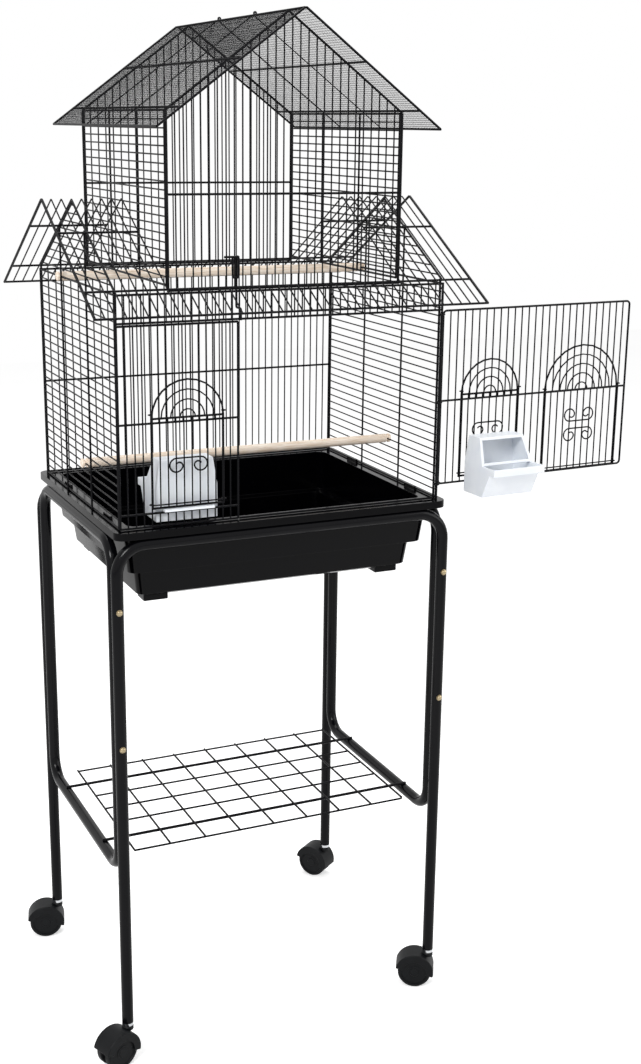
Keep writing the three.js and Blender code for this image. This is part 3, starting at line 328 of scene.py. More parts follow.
def feed(tree, node, inputs):
    """Fills a node's inputs with numbers, or links them to outputs."""
    for name, value in inputs.items():
        if isinstance(value, bpy.types.NodeSocket):
            tree.links.new(value, node.inputs[name])
        else:
            node.inputs[name].default_value = value


def add_node(tree, kind, inputs, **settings):
    """Adds a node with its settings, numbers and links."""
    node = tree.nodes.new(kind)
    for name, value in settings.items():
        setattr(node, name, value)
    feed(tree, node, inputs)
    return node


def new_material(name):
    """A material with its main shader and the place on the object."""
    material = bpy.data.materials.new(name)
    material.use_nodes = True
    tree = material.node_tree
    place = add_node(tree, "ShaderNodeTexCoord", {}).outputs["Object"]
    return material, tree, tree.nodes["Principled BSDF"], place


def powder_coated_wire():
    # Black polyester powder on drawn steel wire: satin, with a slight orange peel.
    material, tree, shader, place = new_material("powder_coated_wire")
    peel = add_node(tree, "ShaderNodeTexNoise", {
        "Vector": place, "Scale": 1 / (1.4 * MM), "Detail": 2.0}).outputs["Fac"]
    cloud = add_node(tree, "ShaderNodeTexNoise", {
        "Vector": place, "Scale": 1 / (60 * MM), "Detail": 3.0}).outputs["Fac"]
    colour = add_node(tree, "ShaderNodeMix", {
        0: cloud, 6: linear("#070709"), 7: linear("#0f0f12")}, data_type="RGBA")
    rough = add_node(tree, "ShaderNodeMapRange", {"Value": peel, "To Min": 0.3, "To Max": 0.46})
    bump = add_node(tree, "ShaderNodeBump", {
        "Height": peel, "Strength": 0.25, "Distance": 0.06 * MM})
    feed(tree, shader, {"Base Color": colour.outputs[2], "Roughness": rough.outputs["Result"],
                        "Normal": bump.outputs["Normal"], "Specular IOR Level": 0.09})
    return material


def powder_coated_tube():
    # Gloss black powder on steel tube: long sharp highlights that waver with the orange peel.
    material, tree, shader, place = new_material("powder_coated_tube")
    peel = add_node(tree, "ShaderNodeTexNoise", {
        "Vector": place, "Scale": 1 / (2.2 * MM), "Detail": 2.0}).outputs["Fac"]
    cloud = add_node(tree, "ShaderNodeTexNoise", {
        "Vector": place, "Scale": 1 / (45 * MM), "Detail": 4.0}).outputs["Fac"]
    colour = add_node(tree, "ShaderNodeMix", {
        0: cloud, 6: linear("#040406"), 7: linear("#0a0a0d")}, data_type="RGBA")
    rough = add_node(tree, "ShaderNodeMapRange", {
        "Value": cloud, "To Min": 0.09, "To Max": 0.2})
    bump = add_node(tree, "ShaderNodeBump", {
        "Height": peel, "Strength": 0.2, "Distance": 0.08 * MM})
    feed(tree, shader, {"Base Color": colour.outputs[2], "Roughness": rough.outputs["Result"],
                        "Normal": bump.outputs["Normal"], "Specular IOR Level": 0.14})
    return material


def moulded_polystyrene():
    # Black polystyrene, injection moulded and polished: clear reflections, faint scuffs.
    material, tree, shader, place = new_material("moulded_polystyrene")
    sink = add_node(tree, "ShaderNodeTexNoise", {
        "Vector": place, "Scale": 1 / (90 * MM), "Detail": 1.0}).outputs["Fac"]
    scuff = add_node(tree, "ShaderNodeTexNoise", {
        "Vector": place, "Scale": 1 / (8 * MM), "Detail": 5.0}).outputs["Fac"]
    colour = add_node(tree, "ShaderNodeMix", {
        0: scuff, 6: linear("#010102"), 7: linear("#040406")}, data_type="RGBA")
    rough = add_node(tree, "ShaderNodeMapRange", {
        "Value": scuff, "To Min": 0.08, "To Max": 0.2})
    bump = add_node(tree, "ShaderNodeBump", {
        "Height": sink, "Strength": 0.3, "Distance": 1.2 * MM})
    feed(tree, shader, {"Base Color": colour.outputs[2], "Roughness": rough.outputs["Result"],
                        "Normal": bump.outputs["Normal"], "Specular IOR Level": 0.12})
    return material


def moulded_polypropylene():
    # Milky polypropylene, injection moulded: light passes into it and its edges look bluish.
    material, tree, shader, place = new_material("moulded_polypropylene")
    cloud = add_node(tree, "ShaderNodeTexNoise", {
        "Vector": place, "Scale": 1 / (25 * MM), "Detail": 2.0}).outputs["Fac"]
    grain = add_node(tree, "ShaderNodeTexNoise", {
        "Vector": place, "Scale": 1 / (0.9 * MM), "Detail": 2.0}).outputs["Fac"]
    colour = add_node(tree, "ShaderNodeMix", {
        0: cloud, 6: linear("#dfe4eb"), 7: linear("#f0f3f7")}, data_type="RGBA")
    bump = add_node(tree, "ShaderNodeBump", {
        "Height": grain, "Strength": 0.15, "Distance": 0.05 * MM})
    feed(tree, shader, {"Base Color": colour.outputs[2], "Normal": bump.outputs["Normal"],
                        "Roughness": 0.34, "Subsurface Weight": 0.25,
                        "Subsurface Scale": 3 * MM, "Subsurface Radius": (1.0, 1.0, 1.1)})
    return material


def turned_hardwood():
    # Bare pale hardwood, turned to a dowel: dry surface with long streaks along it.
    material, tree, shader, place = new_material("turned_hardwood")
    along = add_node(tree, "ShaderNodeMapping", {"Vector": place, "Scale": (0.06, 1.0, 1.0)})
    grain = add_node(tree, "ShaderNodeTexNoise", {
        "Vector": along.outputs["Vector"], "Scale": 1 / (1.8 * MM), "Detail": 5.0,
        "Distortion": 0.4}).outputs["Fac"]
    streak = add_node(tree, "ShaderNodeMapRange", {
        "Value": grain, "From Min": 0.32, "From Max": 0.62}).outputs["Result"]
    colour = add_node(tree, "ShaderNodeMix", {
        0: streak, 6: linear("#e3cbb2"), 7: linear("#faeee0")}, data_type="RGBA")
    bump = add_node(tree, "ShaderNodeBump", {
        "Height": grain, "Strength": 0.3, "Distance": 0.15 * MM})
    feed(tree, shader, {"Base Color": colour.outputs[2], "Normal": bump.outputs["Normal"],
                        "Roughness": 0.68})
    return material


def moulded_nylon():
    # Glass filled black nylon, moulded: a dull dark grey with a fine spark texture.
    material, tree, shader, place = new_material("moulded_nylon")
    spark = add_node(tree, "ShaderNodeTexNoise", {
        "Vector": place, "Scale": 1 / (0.8 * MM), "Detail": 3.0}).outputs["Fac"]
    rub = add_node(tree, "ShaderNodeTexNoise", {
        "Vector": place, "Scale": 1 / (14 * MM), "Detail": 4.0}).outputs["Fac"]
    colour = add_node(tree, "ShaderNodeMix", {
        0: rub, 6: linear("#08090b"), 7: linear("#121416")}, data_type="RGBA")
    rough = add_node(tree, "ShaderNodeMapRange", {"Value": rub, "To Min": 0.36, "To Max": 0.55})
    bump = add_node(tree, "ShaderNodeBump", {
        "Height": spark, "Strength": 0.3, "Distance": 0.06 * MM})
    feed(tree, shader, {"Base Color": colour.outputs[2], "Roughness": rough.outputs["Result"],
                        "Normal": bump.outputs["Normal"], "Specular IOR Level": 0.16})
    return material


def zinc_plate():
    # Zinc plated and passivated steel: a warm pale metal with cloudy gloss.
    material, tree, shader, place = new_material("zinc_plate")
    cloud = add_node(tree, "ShaderNodeTexNoise", {
        "Vector": place, "Scale": 1 / (2.5 * MM), "Detail": 3.0}).outputs["Fac"]
    colour = add_node(tree, "ShaderNodeMix", {
        0: cloud, 6: linear("#9c8a6c"), 7: linear("#c4b696")}, data_type="RGBA")
    rough = add_node(tree, "ShaderNodeMapRange", {
        "Value": cloud, "To Min": 0.22, "To Max": 0.4})
    feed(tree, shader, {"Base Color": colour.outputs[2], "Roughness": rough.outputs["Result"],
                        "Metallic": 1.0})
    return material


def chrome_plate():
    # Bright chrome plate on steel: nearly a mirror, with faint polishing swirls.
    material, tree, shader, place = new_material("chrome_plate")
    swirl = add_node(tree, "ShaderNodeTexNoise", {
        "Vector": place, "Scale": 1 / (3 * MM), "Detail": 4.0}).outputs["Fac"]
    rough = add_node(tree, "ShaderNodeMapRange", {
        "Value": swirl, "To Min": 0.06, "To Max": 0.2})
    feed(tree, shader, {"Base Color": linear("#d9dbde"), "Roughness": rough.outputs["Result"],
                        "Metallic": 1.0})
    return material


WIRE = powder_coated_wire()
TUBE = powder_coated_tube()
TRAY = moulded_polystyrene()
CUP = moulded_polypropylene()
DOWEL = turned_hardwood()
NYLON = moulded_nylon()
ZINC = zinc_plate()
CHROME = chrome_plate()
ROOT = "cage_and_stand"


# ---------------------------------------------------------------- tray
TRAY_LOW, TRAY_HIGH = span("tray")
TRAY_X, TRAY_Y = TRAY_HIGH.x, TRAY_HIGH.y
FLANGE_T = 10
BODY_DROP = 101                  # from the flange's top to the underside
CORNER_R = 14
FOOT_X, FOOT_Y = 17, 13          # half sizes of a foot
FOOT_T = 8                       # its height down to where it tapers
FOOT_INSET = 51
CLIP_X, CLIP_YS = 224.3, (79, -110)
CLIP_THIN, CLIP_LONG = 1.8, 16   # half sizes of a clip
# Half width, half depth and drop of each step of the wall, outside and then inside.
OUTSIDE = ((220, 174, 0), (214, 168, 52), (202, 156, 3), (198, 152, 32), (190, 144, 4))
INSIDE = ((213, 163, 0), (211, 161, 59), (199, 152, 3), (195, 148, 31), (187, 140, 5))


def tray():
    """Deep tray: thick flange, a body with one step below, feet and clip lugs."""
    block((-TRAY_X, -TRAY_Y, FLANGE_Z - FLANGE_T), (TRAY_X, TRAY_Y, FLANGE_Z))
    pick_edges(lambda a, b: abs(a.z - b.z) > 5)
    bpy.ops.mesh.bevel(offset=CORNER_R * MM, segments=6, affect="EDGES")
    below_flange = FLANGE_Z - FLANGE_T - 1
    for way, steps in ((-1, OUTSIDE), (1, INSIDE)):
        pick_faces(lambda middle, normal: normal.z * way > 0.9 and middle.z > below_flange)
        was_x, was_y = TRAY_X, TRAY_Y
        for half_x, half_y, drop in steps:
            draw_face(-Z * drop, (half_x / was_x, half_y / was_y, 1))
            was_x, was_y = half_x, half_y
    shell = bevel(end_piece(30), 2.4, 3, 25)
    feet = [tray_foot(sx, sy) for sx in (-1, 1) for sy in (-1, 1)]
    lugs = [clip_lug(sx, y) for sx in (-1, 1) for y in CLIP_YS]
    whole = weld([shell, *feet, *lugs])
    bpy.ops.object.shade_smooth_by_angle(angle=radians(35))
    finish_piece(whole, "tray_shell", TRAY, "tray_plastic", ROOT, "tray")


def tray_foot(sx, sy):
    """Stout foot near a corner, tapered a little."""
    x, y = sx * (TRAY_X - FOOT_INSET - FOOT_X), sy * (TRAY_Y - FOOT_INSET - FOOT_Y)
    under = FLANGE_Z - BODY_DROP
    block((x - FOOT_X, y - FOOT_Y, under - FOOT_T), (x + FOOT_X, y + FOOT_Y, under + 1))
    pick_faces(lambda middle, normal: normal.z < -0.9)
    draw_face(-Z * (under - FOOT_T - TRAY_LOW.z), (0.92, 0.92, 1), (x, y, 0))
    return bevel(end_piece(), 1.2, 2)


def clip_lug(sx, y):
    """Clip that snaps over the cage's lower rail: a tapered lug with a dished face."""
    x = sx * CLIP_X
    block((x - CLIP_THIN, y - CLIP_LONG, FLANGE_Z - 1), (x + CLIP_THIN, y + CLIP_LONG, FLANGE_Z + 3))
    pick_faces(lambda middle, normal: normal.z > 0.9)
    draw_face(Z * 3, (1, 0.84, 1), (x, y, 0))
    pick_faces(lambda middle, normal: normal.x * sx < -0.9)
    bpy.ops.mesh.inset(thickness=1.2 * MM)
    draw_face(X * sx * 0.8)
    return bevel(end_piece(), 0.5, 2)


# ---------------------------------------------------------------- stand
TOP_TUBE_Z = FLANGE_Z - FLANGE_T - SEAT - TUBE_R
LEG_END_Z = 60
RING_GAP = 0.4                   # between a ring and the leg frames beside it
RING_Y = LEG_Y - 2 * TUBE_R - RING_GAP
FRAME_BEND, RING_BEND = 38, 34
LOW_TUBE_Z = span("stand_left_ring")[0].z + TUBE_R
BOLT_ZS = {"lower": 469, "upper": 658}
WASHER_R, HEAD_R = 4.3, 3.5
SLOT_HALF, SLOT_Y = 1.5, 3.2     # half length of a head's slot, and where it lies
SHELF_X, SHELF_Y = 208.5, 141    # half sizes of the shelf's grid
SHELF_CELLS_X, SHELF_CELLS_Y = 8, 6
SHELF_LAP = 0.9                  # the crossed wires stand this far over and under the middle


def stand():
    """Two leg frames with a closed ring standing between them on each side."""
    elbow_x, elbow_z = LEG_X - FRAME_BEND, TOP_TUBE_Z - FRAME_BEND
    leg = Z * (elbow_z - LEG_END_Z)
    for y, node in ((-LEG_Y, "stand_front_frame"), (LEG_Y, "stand_back_frame")):
        start_wire((-LEG_X, y, LEG_END_Z), Z, TUBE_R, 24)
        run(leg)
        bend((-elbow_x, y, elbow_z), Y, pi / 2, 10)
        run(X * 2 * elbow_x)
        bend((elbow_x, y, elbow_z), Y, pi / 2, 10)
        run(-leg)
        finish_piece(end_piece(), node + "_tube", TUBE, "tube_coat", ROOT, node)
    for x, node in ((-LEG_X, "stand_left_ring"), (LEG_X, "stand_right_ring")):
        ring = bent([(x, -RING_Y, TOP_TUBE_Z), (x, RING_Y, TOP_TUBE_Z), (x, RING_Y, LOW_TUBE_Z),
                     (x, -RING_Y, LOW_TUBE_Z)], TUBE_R, RING_BEND, 24, 10, True)
        finish_piece(ring, node + "_tube", TUBE, "tube_coat", ROOT, node)


def bolts():
    """Domed bolt heads with a cross slot, on a washer, at each leg."""
    for code, (x, y) in LEGS.items():
        out = Y if y > 0 else -Y
        for level, z in BOLT_ZS.items():
            foot = Vector((x, y, z)) + out * (TUBE_R - 0.6)
            start_wire(foot, out, WASHER_R, 20)
            run(out * 1.2)
            washer = end_piece()
            start_wire(foot + out * 1.1, out, HEAD_R, 20)
            run(out * 1.0)
            run(out * 0.8)
            swell(0.82)
            run(out * 0.4)
            swell(0.5)
            head = end_piece(60)
            slots = []
            for long_way in (X, Z):
                reach = long_way * SLOT_HALF + Vector((0.3, 0, 0.3))
                mid = foot + out * SLOT_Y
                block(mid - reach - Y * 0.25, mid + reach + Y * 0.25)
                slots.append(bevel(end_piece(), 0.15, 1))
            whole = weld([washer, head, *slots])
            node = f"bolt_{code}_{level}"
            finish_piece(whole, node + "_head", ZINC, "zinc", ROOT, node)


def shelf():
    """Welded wire shelf: 8 by 6 cells, two heavy wires that reach the rings."""
    low, high = span("shelf")
    z = (low.z + high.z) / 2
    over, under = z + SHELF_LAP, z - SHELF_LAP
    pitch_x, pitch_y = 2 * SHELF_X / SHELF_CELLS_X, 2 * SHELF_Y / SHELF_CELLS_Y
    across = row(straight((-SHELF_X, -SHELF_Y, over), Y * 2 * SHELF_Y, RAIL_R),
                 X * pitch_x, SHELF_CELLS_X + 1)
    along = [straight((-SHELF_X, y, under), X * 2 * SHELF_X, RAIL_R)
             for y in (-SHELF_Y, -pitch_y, 0, pitch_y, SHELF_Y)]
    strong = [straight((low.x, y, under - 0.5), X * (high.x - low.x), 2.1, 12)
              for y in (-2 * pitch_y, 2 * pitch_y)]
    finish_wires([across, *along, *strong], "shelf_wires", ROOT, "shelf")


# ---------------------------------------------------------------- casters
WHEEL_R = 25
WHEEL_IN = 4.4                   # from the middle of the axle to a wheel's inner face
STEM_Z = 50                      # foot of the steel pin
AXLE_HALF = 14.2
HOOD_START, HOOD_SWEEP = radians(-12), radians(180)


def casters():
    """Four twin wheel casters, each turned its own way."""
    for code, (x, y) in LEGS.items():
        low, high = span(f"caster_{code}_axle")
        hub = (low + high) / 2
        pivot = Vector((x, y, 0))
        trail = Vector((hub.x - x, hub.y - y, 0)).normalized()
        caster("caster_" + code, pivot, hub, trail)


def caster(name, pivot, hub, trail):
    """One caster: pivot under the leg, hub on the axle, trail from one to the other."""
    side = Z.cross(trail)
    finish_piece(caster_hood(pivot, hub, trail, side), name + "_hood_shell", NYLON,
                 "caster_nylon", name, name + "_hood")
    finish_piece(caster_stem(pivot), name + "_stem_pin", CHROME, "caster_chrome", ROOT,
                 name + "_stem")
    finish_piece(caster_axle(hub, side), name + "_axle_pin", CHROME, "caster_chrome", name,
                 name + "_axle")
    for letter in "ab":
        node = f"{name}_wheel_{letter}"
        low, high = span(node)
        way = 1 if ((low + high) / 2 - hub).dot(side) > 0 else -1
        finish_piece(caster_wheel(hub, side * way), node + "_disc", NYLON, "caster_nylon",
                     node, node)


def caster_stem(pivot):
    """Steel pin with a bright collar under the tube's end."""
    start_wire(pivot + Z * STEM_Z, Z, 4, 20)
    run(Z * 4.8)
    run(Z * 0.4)
    swell(2.0)
    run(Z * 4)
    run(Z * 0.4)
    swell(0.55)
    run(Z * 26)
    run(Z * 2)
    swell(0.6)
    return end_piece(30)


def caster_axle(hub, side):
    """Steel pin that ends inside the wheels' hubs, with chamfered ends."""
    start_wire(hub - side * AXLE_HALF, side, 2.4, 16)
    run(side * 0.7)
    swell(1.2)
    run(side * (2 * AXLE_HALF - 1.4))
    run(side * 0.7)
    swell(1 / 1.2)
    return end_piece(50)


def caster_wheel(hub, toward):
    """Hard wheel: crowned tread, raised rim and a dished face with a hub boss."""
    start_wire(hub + toward * WHEEL_IN, toward, WHEEL_R - 1.2, 40)
    run(toward * 1.2)
    swell(WHEEL_R / (WHEEL_R - 1.2))
    run(toward * 6.4)
    run(toward * 2)
    swell(0.965)
    run(toward * 1)
    swell(0.93)
    bpy.ops.mesh.inset(thickness=2.4 * MM)
    run(toward * -1.4)
    swell(0.97)
    bpy.ops.mesh.inset(thickness=9 * MM)
    run(toward * 0.5)
    bpy.ops.mesh.inset(thickness=3.2 * MM)
    run(toward * 0.9)
    swell(0.9)
    return end_piece(30)


def caster_hood(pivot, hub, trail, side):
    """Fender over both wheels with a cheek on each side, a web between and a neck."""
    arm = trail * -cos(HOOD_START) + Z * sin(HOOD_START)
    top = fender(hub, arm, side, -16.6, 16.6, 26, 29)
    cheeks = [fender(hub, arm, side, low, low + 1.4, 17.5, 28.4) for low in (-16.8, 15.4)]
    web = fender(hub, arm, side, -3.5, 3.5, 4, 27)
    start_wire(pivot + Z * 48.5, Z, 8, 24)
    run(Z * 4.2)
    run(Z * 1.6)
    swell(0.86)
    neck = end_piece(30)
    return weld([top, *cheeks, web, neck])


def fender(hub, arm, side, low, high, inner, outer):
    """A flat section spun about the axle: from low to high along it, from inner to outer radius."""
    middle = hub + arm * (inner + outer) / 2 + side * (low + high) / 2
    turn = Matrix((side, arm, side.cross(arm))).transposed().to_euler()
    bpy.ops.object.select_all(action="DESELECT")
    bpy.ops.mesh.primitive_plane_add(size=1, location=at(middle), rotation=turn)
    bpy.context.object.scale = ((high - low) * MM, (outer - inner) * MM, 1)
    settle()
    bpy.ops.object.mode_set(mode="EDIT")
    bpy.ops.mesh.select_all(action="SELECT")
    bend(hub, side, HOOD_SWEEP, 24)
    return bevel(end_piece(30), min(1.2, (high - low) * 0.35), 2, 50)


# ---------------------------------------------------------------- grilles
def grille(start, across, up, gaps):
    """Bars along up, spaced over across, with no bar on either edge."""
    step = Vector(across) / gaps
    return row(straight(Vector(start) + step, up, BAR_R), step, gaps - 1)


def rail(start, move, radius=RAIL_R):
    """A straight rail, as thick as the frame wires unless it says otherwise."""
    return straight(start, move, radius)


def framed_grille(left, across, up, gaps):
    """Upright bars between two rails, with a post at each end."""
    post = up + Z * 2 * RAIL_R
    return [grille(left, across, up, gaps), rail(left, across), rail(left + up, across),
            rail(left - Z * RAIL_R, post, POST_R), rail(left + across - Z * RAIL_R, post, POST_R)]


def back_panel():
    """Back of the cage: a framed grille with a middle rail outside."""
    left = Vector((-HALF_W, HALF_D, FLOOR_Z + RAIL_R))
    across = X * 2 * HALF_W
    pieces = framed_grille(left, across, Z * (WALL_TOP - FLOOR_Z - 2 * RAIL_R), BODY_GAPS)
    pieces.append(rail(left + Z * (MID_Z - left.z) + Y * RAIL_LAP, across))
    finish_wires(pieces, "back_grille", ROOT, "cage_back_panel")


def side_panel(side, node):
    """Side of the cage with its gable: level bars, two heavy uprights outside."""
    low, high = span(node)
    front, back = low.y, high.y
    x = side * HALF_W
    apex = LOW_RIDGE_Z - 1.8 / cos(LOW_SLOPE)
    foot = Vector((x, front, FLOOR_Z + RAIL_R))
    depth = Y * (back - front)
    rise = WALL_TOP - FLOOR_Z - 2 * RAIL_R
    pitch = rise / SIDE_GAPS
    gable_rows = int((apex - WALL_TOP) / pitch)
    top = Vector((x, front, WALL_TOP - RAIL_R))
    gable = row(straight(top + Z * pitch, depth, BAR_R), Z * pitch, gable_rows)
    for way in (-1, 1):
        plane = Vector((0, way * sin(LOW_SLOPE), cos(LOW_SLOPE)))
        saw(gable, (x, 0, apex - 1), plane)
    uprights = []
    for y in (-STRONG_Y, STRONG_Y):
        head = apex - tan(LOW_SLOPE) * (abs(y) + 2)
        place = (x + side * UPRIGHT_LAP, y, FLOOR_Z)
        uprights.append(rail(place, Z * (head - FLOOR_Z), UPRIGHT_R))
    ridge = Vector((x, 0, apex - 1.5))
    slopes = []
    for end in (front, back):
        eave = Vector((x, end, apex - 1.5 - tan(LOW_SLOPE) * abs(end)))
        slopes.append(rail(eave, ridge - eave))
        slopes.append(rail((x, end - 2.5 * (1 if end > 0 else -1), FLOOR_Z),
                           Z * (eave.z - FLOOR_Z), POST_R))
    pieces = [grille(foot, Z * rise, depth, SIDE_GAPS), rail(foot, depth), rail(top, depth), gable,
              *uprights, *slopes]
    finish_wires(pieces, node + "_wires", ROOT, node)


FEEDER_BARS = (4, 13)            # bars on either side of the opening in the fixed part
FIXED_PITCH = (JAMB_X + HALF_W) / FIXED_GAPS


def fixed_front():
    """Fixed part of the front with the opening that its feeder door closes."""
    left = -HALF_W
    y = -HALF_D
    top = HEADER_Z - SEAT - RAIL_R
    base = FLOOR_Z + RAIL_R
    pieces = []
    for i in range(FIXED_GAPS + 1):
        x = left + i * FIXED_PITCH
        radius = {0: POST_R, FIXED_GAPS: RAIL_R}.get(i, BAR_R)
        if FEEDER_BARS[0] < i < FEEDER_BARS[1]:
            pieces.append(straight((x, y, base), Z * (LEDGE_Z - base), radius))
            pieces.append(straight((x, y, MID_Z), Z * (top - MID_Z), radius))
        else:
            pieces.append(straight((x, y, base), Z * (top - base), radius))
    for z in (base, LEDGE_Z, MID_Z, top):
        pieces.append(rail((left, y, z), X * (JAMB_X - left)))
    finish_wires(pieces, "fixed_front_wires", ROOT, "cage_front_fixed_panel")


def front_header():
    """Narrow grille over the doors, the full width of the cage."""
    left = Vector((-HALF_W, -HALF_D, HEADER_Z + RAIL_R))
    up = Z * (WALL_TOP - HEADER_Z - 2 * RAIL_R)
    pieces = framed_grille(left, X * 2 * HALF_W, up, BODY_GAPS)
    finish_wires(pieces, "front_header_wires", ROOT, "cage_front_header")


def door_post():
    """The post that the big door turns on, with a chamfered top."""
    low, high = span("door_post")
    pin = Vector(((low.x + high.x) / 2, (low.y + high.y) / 2, low.z))
    start_wire(pin, Z, 2.0, 16)
    run(Z * (high.z - low.z - 0.8))
    run(Z * 0.8)
    swell(0.7)
    finish_piece(end_piece(30), "hinge_post", WIRE, "wire_coat", ROOT, "door_post")


def door_sill():
    """The wire under the big door's opening, with a chamfered end."""
    low, high = span("door_sill")
    start_wire((low.x, -HALF_D, (low.z + high.z) / 2), X, RAIL_R, 12)
    run(X * (high.x - low.x - 0.5))
    run(X * 0.5)
    swell(0.7)
    finish_piece(end_piece(30), "sill_wire", WIRE, "wire_coat", ROOT, "door_sill")


# ---------------------------------------------------------------- guillotine doors and scrolls
GUILLOTINE_H = 117.5             # from the foot to the rail that the arch stands on
GUILLOTINE_OUT = 3               # from the bars to the sliding door
SLIDE_R = 1.3                    # its side wires and its outer arch
EYE_R, EYE_WIRE, EYE_OUT = 2.6, 0.8, 1.7
SCROLL_REACH, SCROLL_CURL, SCROLL_R = 16.5, 9, 1.1


def arch(origin, u, base, radius, wire):
    """Half circle of wire standing on a rail."""
    return hoop(origin + Z * base, u.cross(Z), u * radius, wire, pi, 12, 6)


def scroll_wire(origin, u, way):
    """C scroll of one wire: a flat back with both ends curled in twice."""
    axis = u.cross(Z) * -way
    outer, inner = radians(250), radians(170)

    def arm(angle, size):
        return (u * sin(angle) + Z * (way * cos(angle))) * size

    left, right = origin - u * SCROLL_REACH, origin + u * SCROLL_REACH
    left_eye = left + arm(-outer, SCROLL_CURL * 0.45)
    right_eye = right + arm(outer, SCROLL_CURL * 0.45)
    first = arm(-outer - inner, SCROLL_CURL * 0.55)
    start_wire(left_eye + first, axis.cross(first), SCROLL_R, 6)
    bend(left_eye, axis, inner, 8)
    bend(left, axis, outer, 12)
    run(u * 2 * SCROLL_REACH)
    bend(right, axis, outer, 12)
    bend(right_eye, axis, inner, 8)
    return end_piece()


def guillotine(origin, u, width, gaps, arcs, scrolls):
    """Lift-up door of bars, with eyes that slide on the bars beside it and arches on its rail.

    origin is the middle of its foot and u runs across it. Each scroll has its height, and 1 if
    its flat back is on top or -1 if it is below.
    """
    half = width / 2
    foot = origin - u * half
    face = u.cross(Z)
    pieces = [rail(foot + Z * RAIL_R, u * width), rail(foot + Z * GUILLOTINE_H, u * width),
              rail(foot + Z * 5.5 + face * 0.4, u * width, BAR_R),
              grille(foot + Z * RAIL_R, u * width, Z * (GUILLOTINE_H - RAIL_R), gaps)]
    for side in (-1, 1):
        edge = origin + u * (side * half)
        pieces.append(rail(edge, Z * GUILLOTINE_H, SLIDE_R))
        for z in (6, GUILLOTINE_H + 5):
            eye = edge + u * side + Z * z - face * EYE_OUT
            pieces.append(hoop(eye, Z, face * EYE_R, EYE_WIRE, 2 * pi, 10, 6))
    for k in range(arcs):
        radius = half * (1 - k / (arcs - 0.2))
        pieces.append(arch(origin, u, GUILLOTINE_H, radius, SLIDE_R if k == 0 else BAR_R))
    for z, way in scrolls:
        pieces.append(scroll_wire(origin + Z * z + face * 1.6, u, way))
    return pieces


def front_feeder():
    """Lift-up door over the front cup."""
    first, last = (i * FIXED_PITCH - HALF_W for i in FEEDER_BARS)
    origin = Vector(((first + last) / 2, -HALF_D - GUILLOTINE_OUT, span("front_feeder_door")[0].z))
    pieces = guillotine(origin, X, last - first, FEEDER_BARS[1] - FEEDER_BARS[0], 4, [(56, 1)])
    finish_wires(pieces, "front_feeder_wires", "front_feeder_slide", "front_feeder_door")


# ---------------------------------------------------------------- big door
HINGE = joint_place("big_door_hinge")
DOOR_REST = radians(3)           # it stands open, this far behind the line of the front
ALONG = Vector((cos(DOOR_REST), sin(DOOR_REST), 0))
OUTWARD = Vector((-sin(DOOR_REST), cos(DOOR_REST), 0))
DOOR_OUT = 7.5                   # from the hinge's pin to the door's bars
DOOR_START, DOOR_END = 7.5, 326.5
DOOR_PITCH = (DOOR_END - DOOR_START) / DOOR_GAPS
DOOR_BASE = FLANGE_Z + 17.5 + RAIL_R
DOOR_TOP = FLANGE_Z + 261.5 - RAIL_R
FEEDER = (3, 11)                 # bars on either side of its two openings
ENTRY = (15, 26)
LOOP_R = 3.75                    # hinge loops


def on_door(s, out, z):
    """A place on the big door: s from the hinge, out of its outer face, at height z."""
    return Vector((HINGE.x, HINGE.y, 0)) + ALONG * s + OUTWARD * (DOOR_OUT + out) + Z * z


def bar_place(i):
    """How far a bar of the big door is from the hinge. Bar 0 is its frame."""
    return DOOR_START + i * DOOR_PITCH


def opening(bars):
    """Middle and width of an opening in the big door, along it."""
    first, last = bar_place(bars[0]), bar_place(bars[1])
    return (first + last) / 2, last - first


def big_door():
    """Swing door: bars in a bent frame wire, two door openings and three hinge loops."""
    frame_wire = bent([on_door(DOOR_START, 0, DOOR_BASE), on_door(DOOR_END, 0, DOOR_BASE),
                       on_door(DOOR_END, 0, DOOR_TOP), on_door(DOOR_START, 0, DOOR_TOP)],
                      RAIL_R, 5, 8, 4, True)
    pieces = [frame_wire, rail(on_door(DOOR_START, 0, MID_Z), ALONG * (DOOR_END - DOOR_START))]
    full = Z * (DOOR_TOP - DOOR_BASE)
    upper = Z * (DOOR_TOP - MID_Z)
    for i in range(1, DOOR_GAPS):
        s = bar_place(i)
        if FEEDER[0] < i < FEEDER[1] or ENTRY[0] < i < ENTRY[1]:
            pieces.append(straight(on_door(s, 0, MID_Z), upper, BAR_R))
        else:
            pieces.append(straight(on_door(s, 0, DOOR_BASE), full, BAR_R))
    for z in (DOOR_BASE + 1.5, MID_Z, DOOR_TOP - 3.5):
        pin = Vector((HINGE.x, HINGE.y, z))
        pieces.append(hoop(pin, Z, OUTWARD * LOOP_R, BAR_R))
        start = pin + OUTWARD * LOOP_R
        pieces.append(straight(start, on_door(DOOR_START, 0, z) - start, BAR_R))
    finish_wires(pieces, "big_door_wires", "big_door", "big_door")


def door_feeder():
    """Lift-up door over the big door's cup."""
    middle, width = opening(FEEDER)
    origin = on_door(middle, GUILLOTINE_OUT, span("door_feeder_door")[0].z)
    pieces = guillotine(origin, -ALONG, width, FEEDER[1] - FEEDER[0], 4, [(66, 1)])
    finish_wires(pieces, "door_feeder_wires", "door_feeder_slide", "door_feeder_door")


def door_entry():
    """Lift-up entry door in the big door, with a pair of facing scrolls."""
    middle, width = opening(ENTRY)
    origin = on_door(middle, GUILLOTINE_OUT, span("door_entry_door")[0].z)
    pieces = guillotine(origin, -ALONG, width, ENTRY[1] - ENTRY[0], 5, [(80.5, -1), (51.5, 1)])
    finish_wires(pieces, "door_entry_wires", "door_entry_slide", "door_entry_door")


